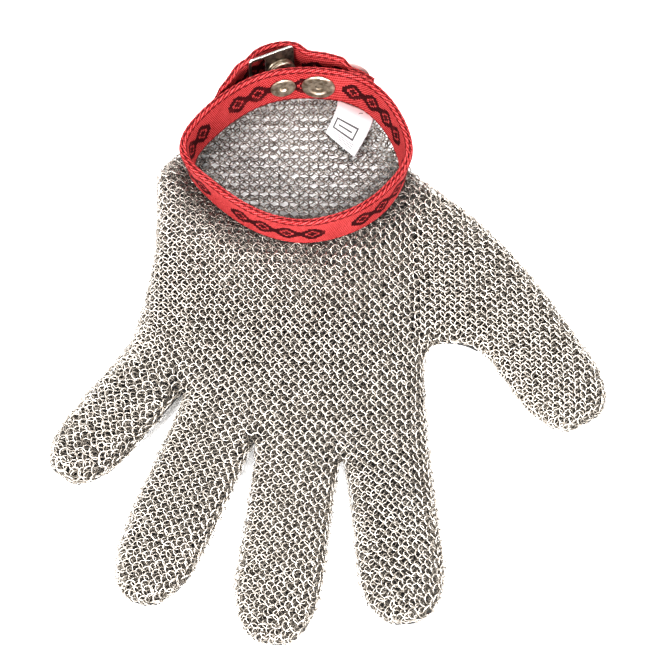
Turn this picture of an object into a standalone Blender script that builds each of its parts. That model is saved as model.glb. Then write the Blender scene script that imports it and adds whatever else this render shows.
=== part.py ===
"""A chainmail safety glove, lying palm down on a flat surface, with its wrist strap open upwards.

The hand is a hollow wall of mail. It is drawn as a flat pattern of quads, given its thickness by
extruding the pattern, rounded by subdivision and made a wall by Solidify. The wall is then parted
along the rows where the fingers and the thumb are joined to the hand. A thick woven strap stands
on the edge of the mouth, and its tail runs outside it through the clasp of a press stud.

Axes: fingers point to -Y, the mouth is at +Y, the little finger is at -X and the thumb at +X.
The origin is on the flat underside of the palm. Tables are in millimetres.
"""

import math

import bmesh
import bpy
from mathutils import Matrix, Vector

MM = 0.001

# ---------------------------------------------------------------- driving sizes
MAIL_WALL = 2.0          # thickness of one layer of links
JOINT_GAP = 0.3          # between neighbouring pieces
STRAP_WIDTH = 15.5
STRAP_THICKNESS = 3.2
TAIL_THICKNESS = 2.6
MAIL_LEVELS = 2          # subdivision of the mail pattern
MAIL_DETAIL = 0.36       # share of the subdivided triangles that is kept

# Bottom edge of the strap, mid-thickness, once round the mouth from the thumb side by the near edge.
# (x, y, how far the strap leans outwards in degrees)
MOUTH = (
    (46.4, 70.0, 7),
    (39.5, 51.8, 6),
    (25.0, 40.4, 6),
    (6.0, 35.1, 6),
    (-13.0, 40.4, 6),
    (-31.0, 55.8, 7),
    (-40.3, 73.0, 8),
    (-31.5, 89.5, 10),
    (-13.0, 102.8, 12),
    (6.0, 106.8, 12),
    (26.0, 103.5, 11),
    (39.5, 90.5, 9),
)
STRAP_NEAR = (35.1, 20.0)    # (y, height of the strap's bottom edge) at the near edge of the mouth
STRAP_FAR = (106.8, 4.2)     # the same at its far edge
RIM_NEAR = (35.1, 19.0)      # the same for the upper edge of the mail
RIM_FAR = (106.8, 2.2)
MOUTH_CENTRE = (3.0, 71.0)
EDGE_PULL = 1.02             # subdivision draws an open edge in by this much

# Rows of the pattern across the hand, below the mouth.
# (little-finger side x, y, thumb side x, y, middle y above, middle height, edge height, middle y below)
PALM_ROWS = (
    (-54.5, 79.0, 53.0, 69.0, 25.0, 17.8, 11.5, 101.0),
    (-53.8, 54.0, 53.0, 46.0, 13.0, 14.8, 10.4, 74.0),
    (-54.6, 33.0, 53.0, 22.0, -1.0, 13.4, 9.8, 44.0),
    (-59.0, 14.5, 53.5, -5.0, -16.0, 12.8, 9.6, 8.0),
)
COLUMNS = 8                  # two for each finger

# Last row: the crotches between the fingers, and the middle of each finger's root. (x, y)
KNUCKLES = (
    (-63.5, -3.6),
    (-52.0, -12.0),
    (-38.6, -19.5),
    (-26.0, -32.5),
    (-12.4, -41.5),
    (4.0, -47.5),
    (20.8, -49.5),
    (38.5, -49.0),
    (55.8, -46.0),
)
KNUCKLE_HEIGHT = 11.6
ROOT_FLARE = 14.0        # how far the outermost cuts run past the hand's sides
FINGER_REACH = 220.0     # well beyond the fingertips
FINGER_HEIGHT = 11.0
FINGER_EDGE_HEIGHT = 9.4
TIP_HEIGHT = 8.6

# Fingers: first column of the pattern, tip x, y, width at the middle, near the end and at the tip.
FINGERS = {
    "little": (0, -91.5, -62.5, 31.0, 30.0, 13.0),
    "ring": (2, -61.5, -117.5, 35.5, 35.5, 15.5),
    "middle": (4, -8.0, -135.5, 36.0, 38.0, 18.0),
    "index": (6, 46.8, -126.5, 35.5, 38.5, 16.5),
}
FINGER_ROWS = (0.26, 0.56, 0.82, 1.0)    # where its rows lie between the root and the tip

# Thumb: rows across it from its root, as (web side x, y, outer side x, y)
THUMB_ROWS = (
    (65.0, -3.0, 79.0, 49.0),
    (77.0, -6.0, 102.5, 19.5),
    (87.5, -25.0, 115.0, -1.0),
    (98.0, -38.0, 126.5, -17.5),
    (111.0, -43.5, 127.0, -33.0),
)
THUMB_FIRST_ROW, THUMB_LAST_ROW = 1, 4   # rows of the hand's side that the thumb grows from
# Plan outline that parts the thumb from the hand
THUMB_OUTLINE = (
    (50.0, -3.0),
    (57.0, -12.0),
    (100.0, -80.0),
    (160.0, -80.0),
    (160.0, 78.0),
    (72.0, 78.0),
    (50.0, 46.0),
)

# Closure. Places along the strap are x positions on its far side; stand-off is measured outwards
# from the strap's outer face.
STUD_X = -3.5
STRAP_RIVET_X = 11.6
TAIL_RIVET_X = 27.6
# Tail of the strap, mid-thickness, from where it is sewn on. (x, stand-off)
TAIL = (
    (-31.5, 1.8),
    (-27.5, 1.8),
    (-23.8, 2.6),
    (-20.4, 3.6),
    (-17.8, 4.6),
    (-16.0, 6.6),
    (-14.4, 8.6),
    (-11.4, 9.5),
    (-7.0, 9.7),
    (-3.0, 9.7),
    (0.2, 9.6),
    (3.0, 8.3),
    (5.2, 6.3),
    (9.0, 5.2),
    (14.0, 4.5),
    (19.5, 3.0),
    (24.0, 1.9),
    (29.0, 1.8),
    (34.0, 1.8),
)
PLATE_LEFT = (-20.8, 6.5)      # (x, stand-off) of the clasp plate's ends
PLATE_RIGHT = (-0.9, 7.4)
PLATE_HEIGHT = 19.4
PLATE_THICKNESS = 1.0
PLATE_CORNER = 2.0
SLOT_CENTRE = 4.9              # from the plate's left end
SLOT_WIDTH = 7.4
SLOT_HEIGHT = 16.6

STUD_HEAD = 3.6                # stand-off of the middle of the post's head

# Turned metal parts: (radius, distance outwards from the strap's outer face)
STUD_SHANK, STRAP_RIVET_SHANK, TAIL_RIVET_SHANK = 2.3, 3.1, 1.8
STUD_POST = (
    (0.0, -3.95), (1.2, -3.95), (1.5, -4.7), (4.3, -4.6), (5.15, -4.2), (5.15, -3.8), (STUD_SHANK, -3.8),
    (STUD_SHANK, 0.4), (4.2, 0.4), (4.2, 0.9), (2.3, 1.2), (2.3, 2.6), (2.8, 3.2), (2.8, 4.0),
    (2.1, 4.5), (0.0, 4.5),
)
STUD_SOCKET = (      # from the middle of the post's head, square to the clasp plate
    (0.0, 1.4), (4.0, 1.4), (4.0, -1.5), (5.3, -1.5), (6.0, -1.1), (6.0, -0.3), (4.9, 0.0), (4.9, 0.8),
    (5.8, 1.1), (5.8, 2.1), (0.0, 2.1),
)
STRAP_RIVET = (
    (0.0, -3.95), (3.6, -3.95), (4.3, -4.8), (5.9, -4.8), (6.75, -4.3), (6.75, -4.0),
    (STRAP_RIVET_SHANK, -4.0), (STRAP_RIVET_SHANK, 0.3), (5.2, 0.3), (5.2, 0.9), (0.0, 0.9),
)
TAIL_RIVET = (      # outwards from the tail's outer face
    (0.0, -2.6), (TAIL_RIVET_SHANK, -2.6), (TAIL_RIVET_SHANK, 0.4), (5.5, 0.4), (5.5, 0.9), (4.4, 2.0),
    (2.4, 2.6), (0.0, 2.8),
)
HOLE_CLEARANCE = 0.3
DRILL_LENGTH = 16.0
TURNED_SIDES = 24

# Label: rows from its sewn edge to its free edge. (left x, y, right x, y)
LABEL_ROWS = (
    (19.0, 101.6, 33.4, 93.6),
    (17.8, 98.4, 31.6, 89.8),
    (16.0, 94.8, 28.9, 84.5),
    (14.1, 91.1, 26.1, 79.1),
)
LABEL_COLUMNS = 3
LABEL_THICKNESS = 0.4
LABEL_GAP = 0.35

COLOURS = {
    "steel": ((0.55, 0.53, 0.50), 0.35, 1.0),
    "webbing": ((0.72, 0.03, 0.035), 0.8, 0.0),
    "plated": ((0.62, 0.58, 0.50), 0.3, 1.0),
    "satin": ((0.86, 0.85, 0.84), 0.6, 0.0),
}


# ---------------------------------------------------------------- scene helpers
def clear_scene():
    for obj in list(bpy.data.objects):
        bpy.data.objects.remove(obj)


def new_collection(name):
    made = bpy.data.collections.new(name)
    bpy.context.scene.collection.children.link(made)
    return made


def material(name):
    colour, roughness, metallic = COLOURS[name]
    made = bpy.data.materials.get(name) or bpy.data.materials.new(name)
    made.use_nodes = True
    shader = made.node_tree.nodes["Principled BSDF"]
    shader.inputs["Base Color"].default_value = (*colour, 1.0)
    shader.inputs["Roughness"].default_value = roughness
    shader.inputs["Metallic"].default_value = metallic
    return made


def mesh_object(name, bm, collection, finish=None):
    mesh = bpy.data.meshes.new(name)
    bm.to_mesh(mesh)
    bm.free()
    obj = bpy.data.objects.new(name, mesh)
    collection.objects.link(obj)
    if finish:
        mesh.materials.append(material(finish))
    return obj


def applied(obj, name, collection, finish):
    """A plain mesh object of what obj looks like with its modifiers, and obj removed."""
    graph = bpy.context.evaluated_depsgraph_get()
    mesh = bpy.data.meshes.new_from_object(obj.evaluated_get(graph))
    mesh.materials.clear()
    mesh.materials.append(material(finish))
    bpy.data.objects.remove(obj)
    made = bpy.data.objects.new(name, mesh)
    collection.objects.link(made)
    return made


def boolean(obj, cutter, operation):
    modifier = obj.modifiers.new(f"{operation.lower()} {cutter.name}", "BOOLEAN")
    modifier.operation = operation
    modifier.solver = "EXACT"
    modifier.object = cutter


def as_cutter(obj):
    obj.hide_render = True
    obj.display_type = "WIRE"
    return obj


# ---------------------------------------------------------------- the mouth and its strap
def sloping(y, near, far):
    """The height at y on the line between two (y, height) points."""
    return near[1] + (far[1] - near[1]) * (y - near[0]) / (far[0] - near[0])


def mouth_at(turn):
    """(x, y, lean) a given part of the way round the mouth, on a smooth closed curve through its table."""
    place = (turn % 1.0) * len(MOUTH)
    first = int(place)
    t = place - first
    before, start, end, after = (Vector(MOUTH[(first + k) % len(MOUTH)]) for k in (-1, 0, 1, 2))
    return 0.5 * (
        2 * start
        + (end - before) * t
        + (2 * before - 5 * start + 4 * end - after) * t**2
        + (3 * start - before - 3 * end + after) * t**3
    )


def strap_frame(turn):
    """Where the strap stands: its bottom edge's point, the way along it, outwards, and up its face."""
    step = 0.002
    x, y, lean = mouth_at(turn)
    ahead, behind = mouth_at(turn + step), mouth_at(turn - step)
    along = (Vector((ahead.x, ahead.y, sloping(ahead.y, STRAP_NEAR, STRAP_FAR)))
             - Vector((behind.x, behind.y, sloping(behind.y, STRAP_NEAR, STRAP_FAR)))).normalized()
    outwards = Vector((-along.y, along.x, 0)).normalized()
    if outwards.dot(Vector((x - MOUTH_CENTRE[0], y - MOUTH_CENTRE[1], 0))) < 0:
        outwards.negate()
    tip = math.radians(lean)
    up = (Vector((0, 0, 1)) * math.cos(tip) + outwards * math.sin(tip)).normalized()
    face = up.cross(along).normalized()
    if face.dot(outwards) < 0:
        face.negate()
    return Vector((x, y, sloping(y, STRAP_NEAR, STRAP_FAR))), along, face, up


def ribbon(name, frames, width, thickness, closed, collection):
    """A strap with rounded edges through frames of (centre, face direction, up direction)."""
    bm = bmesh.new()
    corner = 0.35 * thickness
    half_w, half_t = width / 2, thickness / 2
    profile = (
        (half_t, half_w - corner), (half_t - corner, half_w),
        (corner - half_t, half_w), (-half_t, half_w - corner),
        (-half_t, corner - half_w), (corner - half_t, -half_w),
        (half_t - corner, -half_w), (half_t, corner - half_w),
    )
    loops = []
    for centre, face, up in frames:
        ring = bmesh.ops.create_circle(bm, segments=len(profile), radius=1.0)["verts"]
        for vert, (across, height) in zip(ring, profile):
            vert.co = (centre + face * across + up * height) * MM
        loops.append(ring)
    pairs = list(zip(loops, loops[1:] + loops[:1]))
    for first, second in pairs if closed else pairs[:-1]:
        edges = [e for ring in (first, second) for v in ring for e in v.link_edges
                 if e.other_vert(v) in ring]
        bmesh.ops.bridge_loops(bm, edges=list(set(edges)))
    if not closed:
        for ring in (loops[0], loops[-1]):
            bmesh.ops.contextual_create(bm, geom=ring)
    bmesh.ops.recalc_face_normals(bm, faces=bm.faces)
    return mesh_object(name, bm, collection, "webbing")


def strap_loop(collection):
    steps = 64
    frames = []
    for k in range(steps):
        foot, _, face, up = strap_frame(k / steps)
        frames.append((foot + up * (STRAP_WIDTH / 2), face, up))
    return ribbon("strap_loop", frames, STRAP_WIDTH, STRAP_THICKNESS, True, collection)


# ---------------------------------------------------------------- the mail
def mouth_point(column, above):
    """Where the mail's open edge runs under the strap, by the near edge or by the far one."""
    share = (column + 0.5) / (2 * COLUMNS + 2)
    x, y, _ = mouth_at(0.5 - share if above else 0.5 + share)
    centre_x, centre_y = MOUTH_CENTRE
    y = centre_y + (y - centre_y) * EDGE_PULL
    return Vector((centre_x + (x - centre_x) * EDGE_PULL, y, sloping(y, RIM_NEAR, RIM_FAR)))


def knuckle_point(column, above):
    x, y = KNUCKLES[column]
    height = FINGER_EDGE_HEIGHT if column in (0, COLUMNS) else KNUCKLE_HEIGHT
    return Vector((x, y, height if above else 0.0))


def palm_point(row, column, above):
    """Where a vertex of the pattern lies on the upper or the lower layer of the hand."""
    last = len(PALM_ROWS) + 1
    if row == 0:
        return mouth_point(column, above)
    if row > last:
        return knuckle_point(column, above)
    if row == last:
        return palm_point(last - 1, column, above).lerp(knuckle_point(column, above), 0.5)
    left_x, left_y, right_x, right_y, above_y, height, edge_height, below_y = PALM_ROWS[row - 1]
    share = column / COLUMNS
    swell = 4 * share * (1 - share)
    middle_y = above_y if above else below_y
    y = left_y + (right_y - left_y) * share + (middle_y - (left_y + right_y) / 2) * swell
    z = edge_height + (height - edge_height) * min(1.0, 1.6 * swell)
    return Vector((left_x + (right_x - left_x) * share, y, z if above else 0.0))


def finger_point(finger, step, side, above):
    """A vertex on a row across a finger: side is -1, 0 or 1."""
    first, tip_x, tip_y, *widths = FINGERS[finger]
    root = (Vector(KNUCKLES[first]) + Vector(KNUCKLES[first + 2])) / 2
    tip = Vector((tip_x, tip_y))
    along = (tip - root).normalized()
    across = Vector((-along.y, along.x))
    width = widths[max(step - 1, 0)]
    place = root.lerp(tip, FINGER_ROWS[step]) + across * (side * width / 2)
    at_tip = step == len(FINGER_ROWS) - 1
    height = TIP_HEIGHT if at_tip else FINGER_HEIGHT if side == 0 else FINGER_EDGE_HEIGHT
    return Vector((place.x, place.y, height if above else 0.0))


def thumb_point(step, share, above):
    """A vertex on a row across the thumb: share is 0 at its outer side and 1 at the web."""
    web_x, web_y, outer_x, outer_y = THUMB_ROWS[step]
    at_tip = step == len(THUMB_ROWS) - 1
    height = TIP_HEIGHT if at_tip else FINGER_EDGE_HEIGHT if share in (0, 1) else FINGER_HEIGHT
    return Vector((outer_x + (web_x - outer_x) * share, outer_y + (web_y - outer_y) * share,
                   height if above else 0.0))


def next_row(bm, row):
    """Extrudes the edges along a row of vertices, and returns the new row in the same order."""
    edges = [next(e for e in a.link_edges if e.other_vert(a) is b) for a, b in zip(row, row[1:])]
    made = set(bmesh.ops.extrude_edge_only(bm, edges=edges)["geom"])
    return [next(e.other_vert(v) for e in v.link_edges if e.other_vert(v) in made) for v in row]


def mail_skin(collection):
    """The outer surface of the mail: one smooth surface whose only open edge is the mouth."""
    rows = len(PALM_ROWS) + 2
    bm = bmesh.new()
    number = bm.verts.layers.int.new("number")
    bmesh.ops.create_grid(bm, x_segments=COLUMNS, y_segments=rows, size=1.0)
    in_rows = sorted(bm.verts, key=lambda v: (-round(v.co.y, 4), round(v.co.x, 4)))
    grid = [in_rows[r * (COLUMNS + 1):(r + 1) * (COLUMNS + 1)] for r in range(rows + 1)]
    layers = []

    def settle(vert, point, *where):
        """Gives a vertex of the pattern its place on both layers."""
        vert[number] = len(layers)
        layers.append([point(*where, above) * MM for above in (True, False)])
        vert.co = layers[-1][0]

    for r, row in enumerate(grid):
        for c, vert in enumerate(row):
            settle(vert, palm_point, r, c)
    for name, (first, *_) in FINGERS.items():
        row = grid[-1][first:first + 3]
        for step in range(len(FINGER_ROWS)):
            row = next_row(bm, row)
            for side, vert in zip((-1, 0, 1), row):
                settle(vert, finger_point, name, step, side)
    row = [grid[r][COLUMNS] for r in range(THUMB_FIRST_ROW, THUMB_LAST_ROW + 1)]
    for step in range(len(THUMB_ROWS)):
        row = next_row(bm, row)
        for n, vert in enumerate(row):
            settle(vert, thumb_point, step, n / (len(row) - 1))

    at_mouth = {vert[number] for vert in grid[0]}
    made = bmesh.ops.extrude_face_region(bm, geom=list(bm.faces))["geom"]
    for vert in (g for g in made if isinstance(g, bmesh.types.BMVert)):
        vert.co = layers[vert[number]][1]
    closing = [f for f in bm.faces if all(v[number] in at_mouth for v in f.verts)]
    bmesh.ops.delete(bm, geom=closing, context="FACES")
    bmesh.ops.recalc_face_normals(bm, faces=bm.faces)
    skin = mesh_object("mail_skin", bm, collection)
    rounding = skin.modifiers.new("rounded", "SUBSURF")
    rounding.levels = rounding.render_levels = MAIL_LEVELS
    return skin


def mail_wall(skin, collection):
    """The skin with its triangles thinned out and given the thickness of one layer of links."""
    thinned = skin.modifiers.new("thinned", "DECIMATE")
    thinned.ratio = MAIL_DETAIL
    wall = skin.modifiers.new("wall", "SOLIDIFY")
    wall.thickness = MAIL_WALL * MM
    wall.offset = -1.0
    return applied(skin, "mail_wall", collection, "steel")


def prism(name, corners, inset, collection):
    """An upright block over a plan outline, its sides moved in by inset."""
    bm = bmesh.new()
    ring = bmesh.ops.create_circle(bm, segments=len(corners), radius=1.0)["verts"]
    for vert, (x, y) in zip(ring, corners):
        vert.co = (x * MM, y * MM, -5 * MM)
    face = bmesh.ops.contextual_create(bm, geom=ring)["faces"][0]
    if inset:
        rim = bmesh.ops.inset_individual(bm, faces=[face], thickness=inset * MM)["faces"]
        bmesh.ops.delete(bm, geom=rim, context="FACES")
    made = bmesh.ops.extrude_face_region(bm, geom=[face])["geom"]
    raised = [g for g in made if isinstance(g, bmesh.types.BMVert)]
    bmesh.ops.translate(bm, verts=raised, vec=(0, 0, 60 * MM))
    bmesh.ops.recalc_face_normals(bm, faces=bm.faces)
    return as_cutter(mesh_object(name, bm, collection))


def finger_outlines():
    """The plan outline that each finger is kept by, and the one that takes all four from the hand."""
    names = list(FINGERS)
    ways = []
    for name in names:
        first, tip_x, tip_y, *_ = FINGERS[name]
        root = (Vector(KNUCKLES[first]) + Vector(KNUCKLES[first + 2])) / 2
        ways.append((Vector((tip_x, tip_y)) - root).normalized())
    roots = [Vector(KNUCKLES[FINGERS[name][0]]) for name in names] + [Vector(KNUCKLES[-1])]
    roots[0] -= (roots[1] - roots[0]).normalized() * ROOT_FLARE
    roots[-1] += (roots[-1] - roots[-2]).normalized() * ROOT_FLARE
    sides = [ways[0], *[(a + b).normalized() for a, b in zip(ways, ways[1:])], ways[-1]]
    ends = [root + side * FINGER_REACH for root, side in zip(roots, sides)]
    kept = {name: (ends[n], roots[n], roots[n + 1], ends[n + 1]) for n, name in enumerate(names)}
    return kept, (ends[0], *roots, ends[-1])


def part_mail(wall, collection, cutters):
    """One wall of mail for the hand and one for each finger and the thumb."""
    kept, fingers = finger_outlines()
    kept["thumb"] = [Vector(corner) for corner in THUMB_OUTLINE]
    palm = bpy.data.objects.new("mail_palm", wall.data)
    collection.objects.link(palm)
    for name, corners in (("fingers", fingers), ("thumb", kept["thumb"])):
        boolean(palm, prism(f"{name} away", corners, 0.0, cutters), "DIFFERENCE")
    for name, corners in kept.items():
        digit = bpy.data.objects.new(f"mail_{name}", wall.data)
        collection.objects.link(digit)
        boolean(digit, prism(f"{name} kept", corners, JOINT_GAP, cutters), "INTERSECT")


# ---------------------------------------------------------------- closure
def off_strap(turn, stand_off):
    """A point off the strap's outer face at mid-width, with the strap's directions there."""
    foot, along, face, up = strap_frame(turn)
    centre = foot + up * (STRAP_WIDTH / 2) + face * (STRAP_THICKNESS / 2 + stand_off)
    return centre, along, face, up


def on_strap(x, stand_off=0.0):
    """The same on the far side, for the point that has this x."""
    low, high = 0.5, 0.95
    for _ in range(40):
        middle = (low + high) / 2
        if off_strap(middle, stand_off)[0].x < x:
            low = middle
        else:
            high = middle
    return off_strap((low + high) / 2, stand_off)


def smooth_through(points, steps):
    """A smooth open curve through points, with the given number of steps between neighbours."""
    padded = [2 * points[0] - points[1], *points, 2 * points[-1] - points[-2]]
    curve = []
    for before, start, end, after in zip(padded, padded[1:], padded[2:], padded[3:]):
        for k in range(steps):
            t = k / steps
            curve.append(0.5 * (2 * start + (end - before) * t
                                + (2 * before - 5 * start + 4 * end - after) * t**2
                                + (3 * start - before - 3 * end + after) * t**3))
    return curve + [points[-1]]


def strap_tail(collection):
    """The tail's frames follow its own curve, so its thickness stays the same through the bends."""
    centres = smooth_through([on_strap(x, stand_off)[0] for x, stand_off in TAIL], 3)
    frames = []
    for k, centre in enumerate(centres):
        ahead, behind = centres[min(k + 1, len(centres) - 1)], centres[max(k - 1, 0)]
        _, _, face, up = on_strap(min(max(centre.x, TAIL[0][0]), TAIL[-1][0]))
        way = ahead - behind
        way = (way - up * way.dot(up)).normalized()
        across = way.cross(up).normalized()
        if across.dot(face) < 0 and abs(across.dot(face)) > 0.2:
            across.negate()
        frames.append((centre, across, up))
    return ribbon("strap_tail", frames, STRAP_WIDTH, TAIL_THICKNESS, False, collection)


def facing(x, stand_off=0.0):
    """A placement on the strap whose z axis points outwards."""
    centre, along, face, up = on_strap(x, stand_off)
    return Matrix.Translation(centre * MM) @ Matrix((along, face.cross(along), face)).transposed().to_4x4()


def plate_frame():
    """The clasp plate's middle and length, and its directions along, outwards and up."""
    left, right = on_strap(*PLATE_LEFT)[0], on_strap(*PLATE_RIGHT)[0]
    up = on_strap((PLATE_LEFT[0] + PLATE_RIGHT[0]) / 2)[3]
    along = (right - left).normalized()
    face = up.cross(along).normalized()
    return (left + right) / 2, (right - left).length, along, face, along.cross(face)


def on_plate(x, stand_off):
    """A placement at a point off the strap, whose z axis is square to the clasp plate."""
    _, _, along, face, _ = plate_frame()
    axes = Matrix((along, face.cross(along), face)).transposed().to_4x4()
    return Matrix.Translation(on_strap(x, stand_off)[0] * MM) @ axes


def turned(name, outline, placement, collection):
    """A solid turned from (radius, distance) pairs that start and end on its axis."""
    bm = bmesh.new()
    profile = [bmesh.ops.create_vert(bm, co=(radius * MM, 0, height * MM))["vert"][0]
               for radius, height in reversed(outline)]
    for pair in zip(profile, profile[1:]):
        bmesh.ops.contextual_create(bm, geom=pair)
    solid = mesh_object(name, bm, collection, "plated")
    screw = solid.modifiers.new("turned", "SCREW")
    screw.steps = screw.render_steps = TURNED_SIDES
    screw.use_merge_vertices = True
    screw.merge_threshold = 0.01 * MM
    solid.matrix_world = placement
    return solid


def drill(name, radius, placement, collection):
    """A cutter for the hole that a shank goes through."""
    bm = bmesh.new()
    width = radius + HOLE_CLEARANCE
    bmesh.ops.create_cone(bm, cap_ends=True, segments=TURNED_SIDES, radius1=width * MM,
                          radius2=width * MM, depth=DRILL_LENGTH * MM)
    cutter = as_cutter(mesh_object(name, bm, collection))
    cutter.matrix_world = placement
    return cutter


def block(name, size, bevel_radius, collection, finish=None):
    """A box around the origin, its corners rounded in the plane of its length and height."""
    bm = bmesh.new()
    bmesh.ops.create_cube(bm, size=1.0)
    bmesh.ops.scale(bm, vec=Vector(size) * MM, verts=bm.verts)
    if bevel_radius:
        corners = [e for e in bm.edges if abs(e.verts[0].co.y - e.verts[1].co.y) > 0.5 * size[1] * MM]
        bmesh.ops.bevel(bm, geom=corners, offset=bevel_radius * MM, offset_type="OFFSET", segments=3,
                        profile=0.5, affect="EDGES", material=-1)
    return mesh_object(name, bm, collection, finish)


def clasp_plate(collection, cutters):
    middle, length, along, face, up = plate_frame()
    placement = Matrix.Translation(middle * MM) @ Matrix((along, face, up)).transposed().to_4x4()
    plate = block("clasp_plate", (length, PLATE_THICKNESS, PLATE_HEIGHT), PLATE_CORNER, collection, "plated")
    slot = as_cutter(block("slot", (SLOT_WIDTH, DRILL_LENGTH, SLOT_HEIGHT), 0.0, cutters))
    plate.matrix_world = placement
    slot.matrix_world = placement @ Matrix.Translation(((SLOT_CENTRE - length / 2) * MM, 0, 0))
    boolean(plate, slot, "DIFFERENCE")


# ---------------------------------------------------------------- label
def label(wall, collection):
    """A small tag that lies on the inside of the mail, sewn in under the far edge of the strap."""
    bm = bmesh.new()
    steps = len(LABEL_ROWS) - 1
    bmesh.ops.create_grid(bm, x_segments=LABEL_COLUMNS, y_segments=steps, size=1.0)
    ordered = sorted(bm.verts, key=lambda v: (-round(v.co.y, 4), round(v.co.x, 4)))
    for n, vert in enumerate(ordered):
        row, column = divmod(n, LABEL_COLUMNS + 1)
        left_x, left_y, right_x, right_y = LABEL_ROWS[row]
        share = column / LABEL_COLUMNS
        x = (left_x + (right_x - left_x) * share) * MM
        y = (left_y + (right_y - left_y) * share) * MM
        hit, point, *_ = wall.ray_cast((x, y, 40 * MM), (0, 0, -1))
        vert.co = (x, y, (point.z if hit else 0) + LABEL_GAP * MM)
    made = bmesh.ops.extrude_face_region(bm, geom=list(bm.faces))["geom"]
    raised = [g for g in made if isinstance(g, bmesh.types.BMVert)]
    bmesh.ops.translate(bm, verts=raised, vec=(0, 0, LABEL_THICKNESS * MM))
    bmesh.ops.recalc_face_normals(bm, faces=bm.faces)
    return mesh_object("label", bm, collection, "satin")


def main():
    clear_scene()
    glove = new_collection("chainmail glove")
    cutters = new_collection("cutters")
    wall = mail_wall(mail_skin(cutters), cutters)
    part_mail(wall, glove, cutters)
    label(wall, glove)
    bpy.data.objects.remove(wall)

    loop = strap_loop(glove)
    tail = strap_tail(glove)
    clasp_plate(glove, cutters)
    stud, strap_rivet = facing(STUD_X), facing(STRAP_RIVET_X)
    tail_rivet = facing(TAIL_RIVET_X, TAIL[-1][1] + TAIL_THICKNESS / 2)
    turned("stud_post", STUD_POST, stud, glove)
    turned("stud_socket", STUD_SOCKET, on_plate(STUD_X, STUD_HEAD), glove)
    turned("strap_rivet", STRAP_RIVET, strap_rivet, glove)
    turned("tail_rivet", TAIL_RIVET, tail_rivet, glove)
    boolean(loop, drill("stud hole", STUD_SHANK, stud, cutters), "DIFFERENCE")
    boolean(loop, drill("strap rivet hole", STRAP_RIVET_SHANK, strap_rivet, cutters), "DIFFERENCE")
    boolean(tail, drill("tail rivet hole", TAIL_RIVET_SHANK, tail_rivet, cutters), "DIFFERENCE")


main()
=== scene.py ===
"""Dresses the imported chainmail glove: welded links, woven wrist strap, press stud clasp and label.

The links lie on the hand's skin in the four-in-one weave. The skin is the one that the solids are
made from, and it is unrolled by two numbers at each of its points: how far down the hand a row of
links is, and how far along its row a link is. Tables are in millimetres, meshes in metres.
"""

import math
from itertools import accumulate, product

import bmesh
import bpy
import numpy as np
from bpy.props import FloatProperty, FloatVectorProperty, IntProperty, PointerProperty
from mathutils import Matrix, Vector
from mathutils.bvhtree import BVHTree


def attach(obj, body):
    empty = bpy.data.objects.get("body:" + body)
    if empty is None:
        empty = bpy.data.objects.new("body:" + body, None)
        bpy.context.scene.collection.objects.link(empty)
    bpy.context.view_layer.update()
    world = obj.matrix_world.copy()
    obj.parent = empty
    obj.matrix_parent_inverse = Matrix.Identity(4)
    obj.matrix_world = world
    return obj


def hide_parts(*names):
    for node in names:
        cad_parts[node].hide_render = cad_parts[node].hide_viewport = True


bl_info = {
    "name": "Chainmail Glove",
    "version": (1, 0, 0),
    "blender": (4, 5, 0),
    "location": "View3D > Sidebar > Glove",
    "description": "Lays the links, strap, clasp and label of a chainmail glove over its solids",
    "category": "Object",
}

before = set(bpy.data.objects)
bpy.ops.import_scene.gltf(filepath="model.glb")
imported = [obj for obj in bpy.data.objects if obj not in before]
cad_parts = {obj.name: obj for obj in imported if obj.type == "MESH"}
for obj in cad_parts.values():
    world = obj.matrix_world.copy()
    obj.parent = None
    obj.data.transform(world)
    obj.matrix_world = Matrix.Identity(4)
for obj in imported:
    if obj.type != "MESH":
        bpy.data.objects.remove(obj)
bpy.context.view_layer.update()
MM = 0.001

# ---- the hand's skin
MOUTH = (  # the strap's bottom edge: (x, y, how far it leans outwards in degrees)
    (45.2, 70.0, 9), (38.6, 52.2, 0), (25.0, 40.4, -1), (6.0, 35.1, 0), (-13.0, 40.4, 1),
    (-31.0, 55.8, 4), (-39.6, 71.8, 12), (-30.0, 88.3, 15), (-12.6, 102.4, 14), (6.0, 106.6, 13),
    (25.8, 103.1, 13), (38.6, 90.2, 12),
)
STRAP_NEAR, STRAP_FAR = (35.1, 20.0), (106.8, 4.2)  # (y, height) of that edge
RIM_NEAR, RIM_FAR = (35.1, 19.0), (106.8, 2.2)  # the same for the mail
MOUTH_CENTRE, MOUTH_OPEN = (3.0, 71.0), (44.0, 36.0)  # in plan, and half its width and depth
MOUTH_FADE = 0.25  # the hand counts as closed this share further out
EDGE_PULL = 1.02  # the mail's edge is this much wider than the strap's
COLUMNS, EDGE_RISE = 8, 1.6  # of the palm's pattern, and how soon it rises from its sides
PALM_ROWS = (  # left x, y, right x, y, middle y above, middle height, edge height, middle y below
    (-54.5, 79.0, 53.0, 69.0, 25.0, 17.8, 11.5, 101.0),
    (-53.8, 54.0, 53.0, 46.0, 13.0, 14.8, 10.4, 74.0),
    (-54.6, 33.0, 53.0, 22.0, -1.0, 13.4, 9.8, 44.0),
    (-59.0, 14.5, 53.5, -5.0, -16.0, 12.8, 9.6, 8.0),
)
KNUCKLES = (
    (-63.5, -3.6), (-52.0, -12.0), (-38.6, -19.5), (-26.0, -32.5), (-12.4, -41.5), (4.0, -47.5),
    (20.8, -49.5), (38.5, -49.0), (55.8, -46.0),
)
KNUCKLE_HEIGHT, FINGER_HEIGHT, FINGER_EDGE_HEIGHT, TIP_HEIGHT = 11.6, 11.0, 9.4, 8.6
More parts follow.
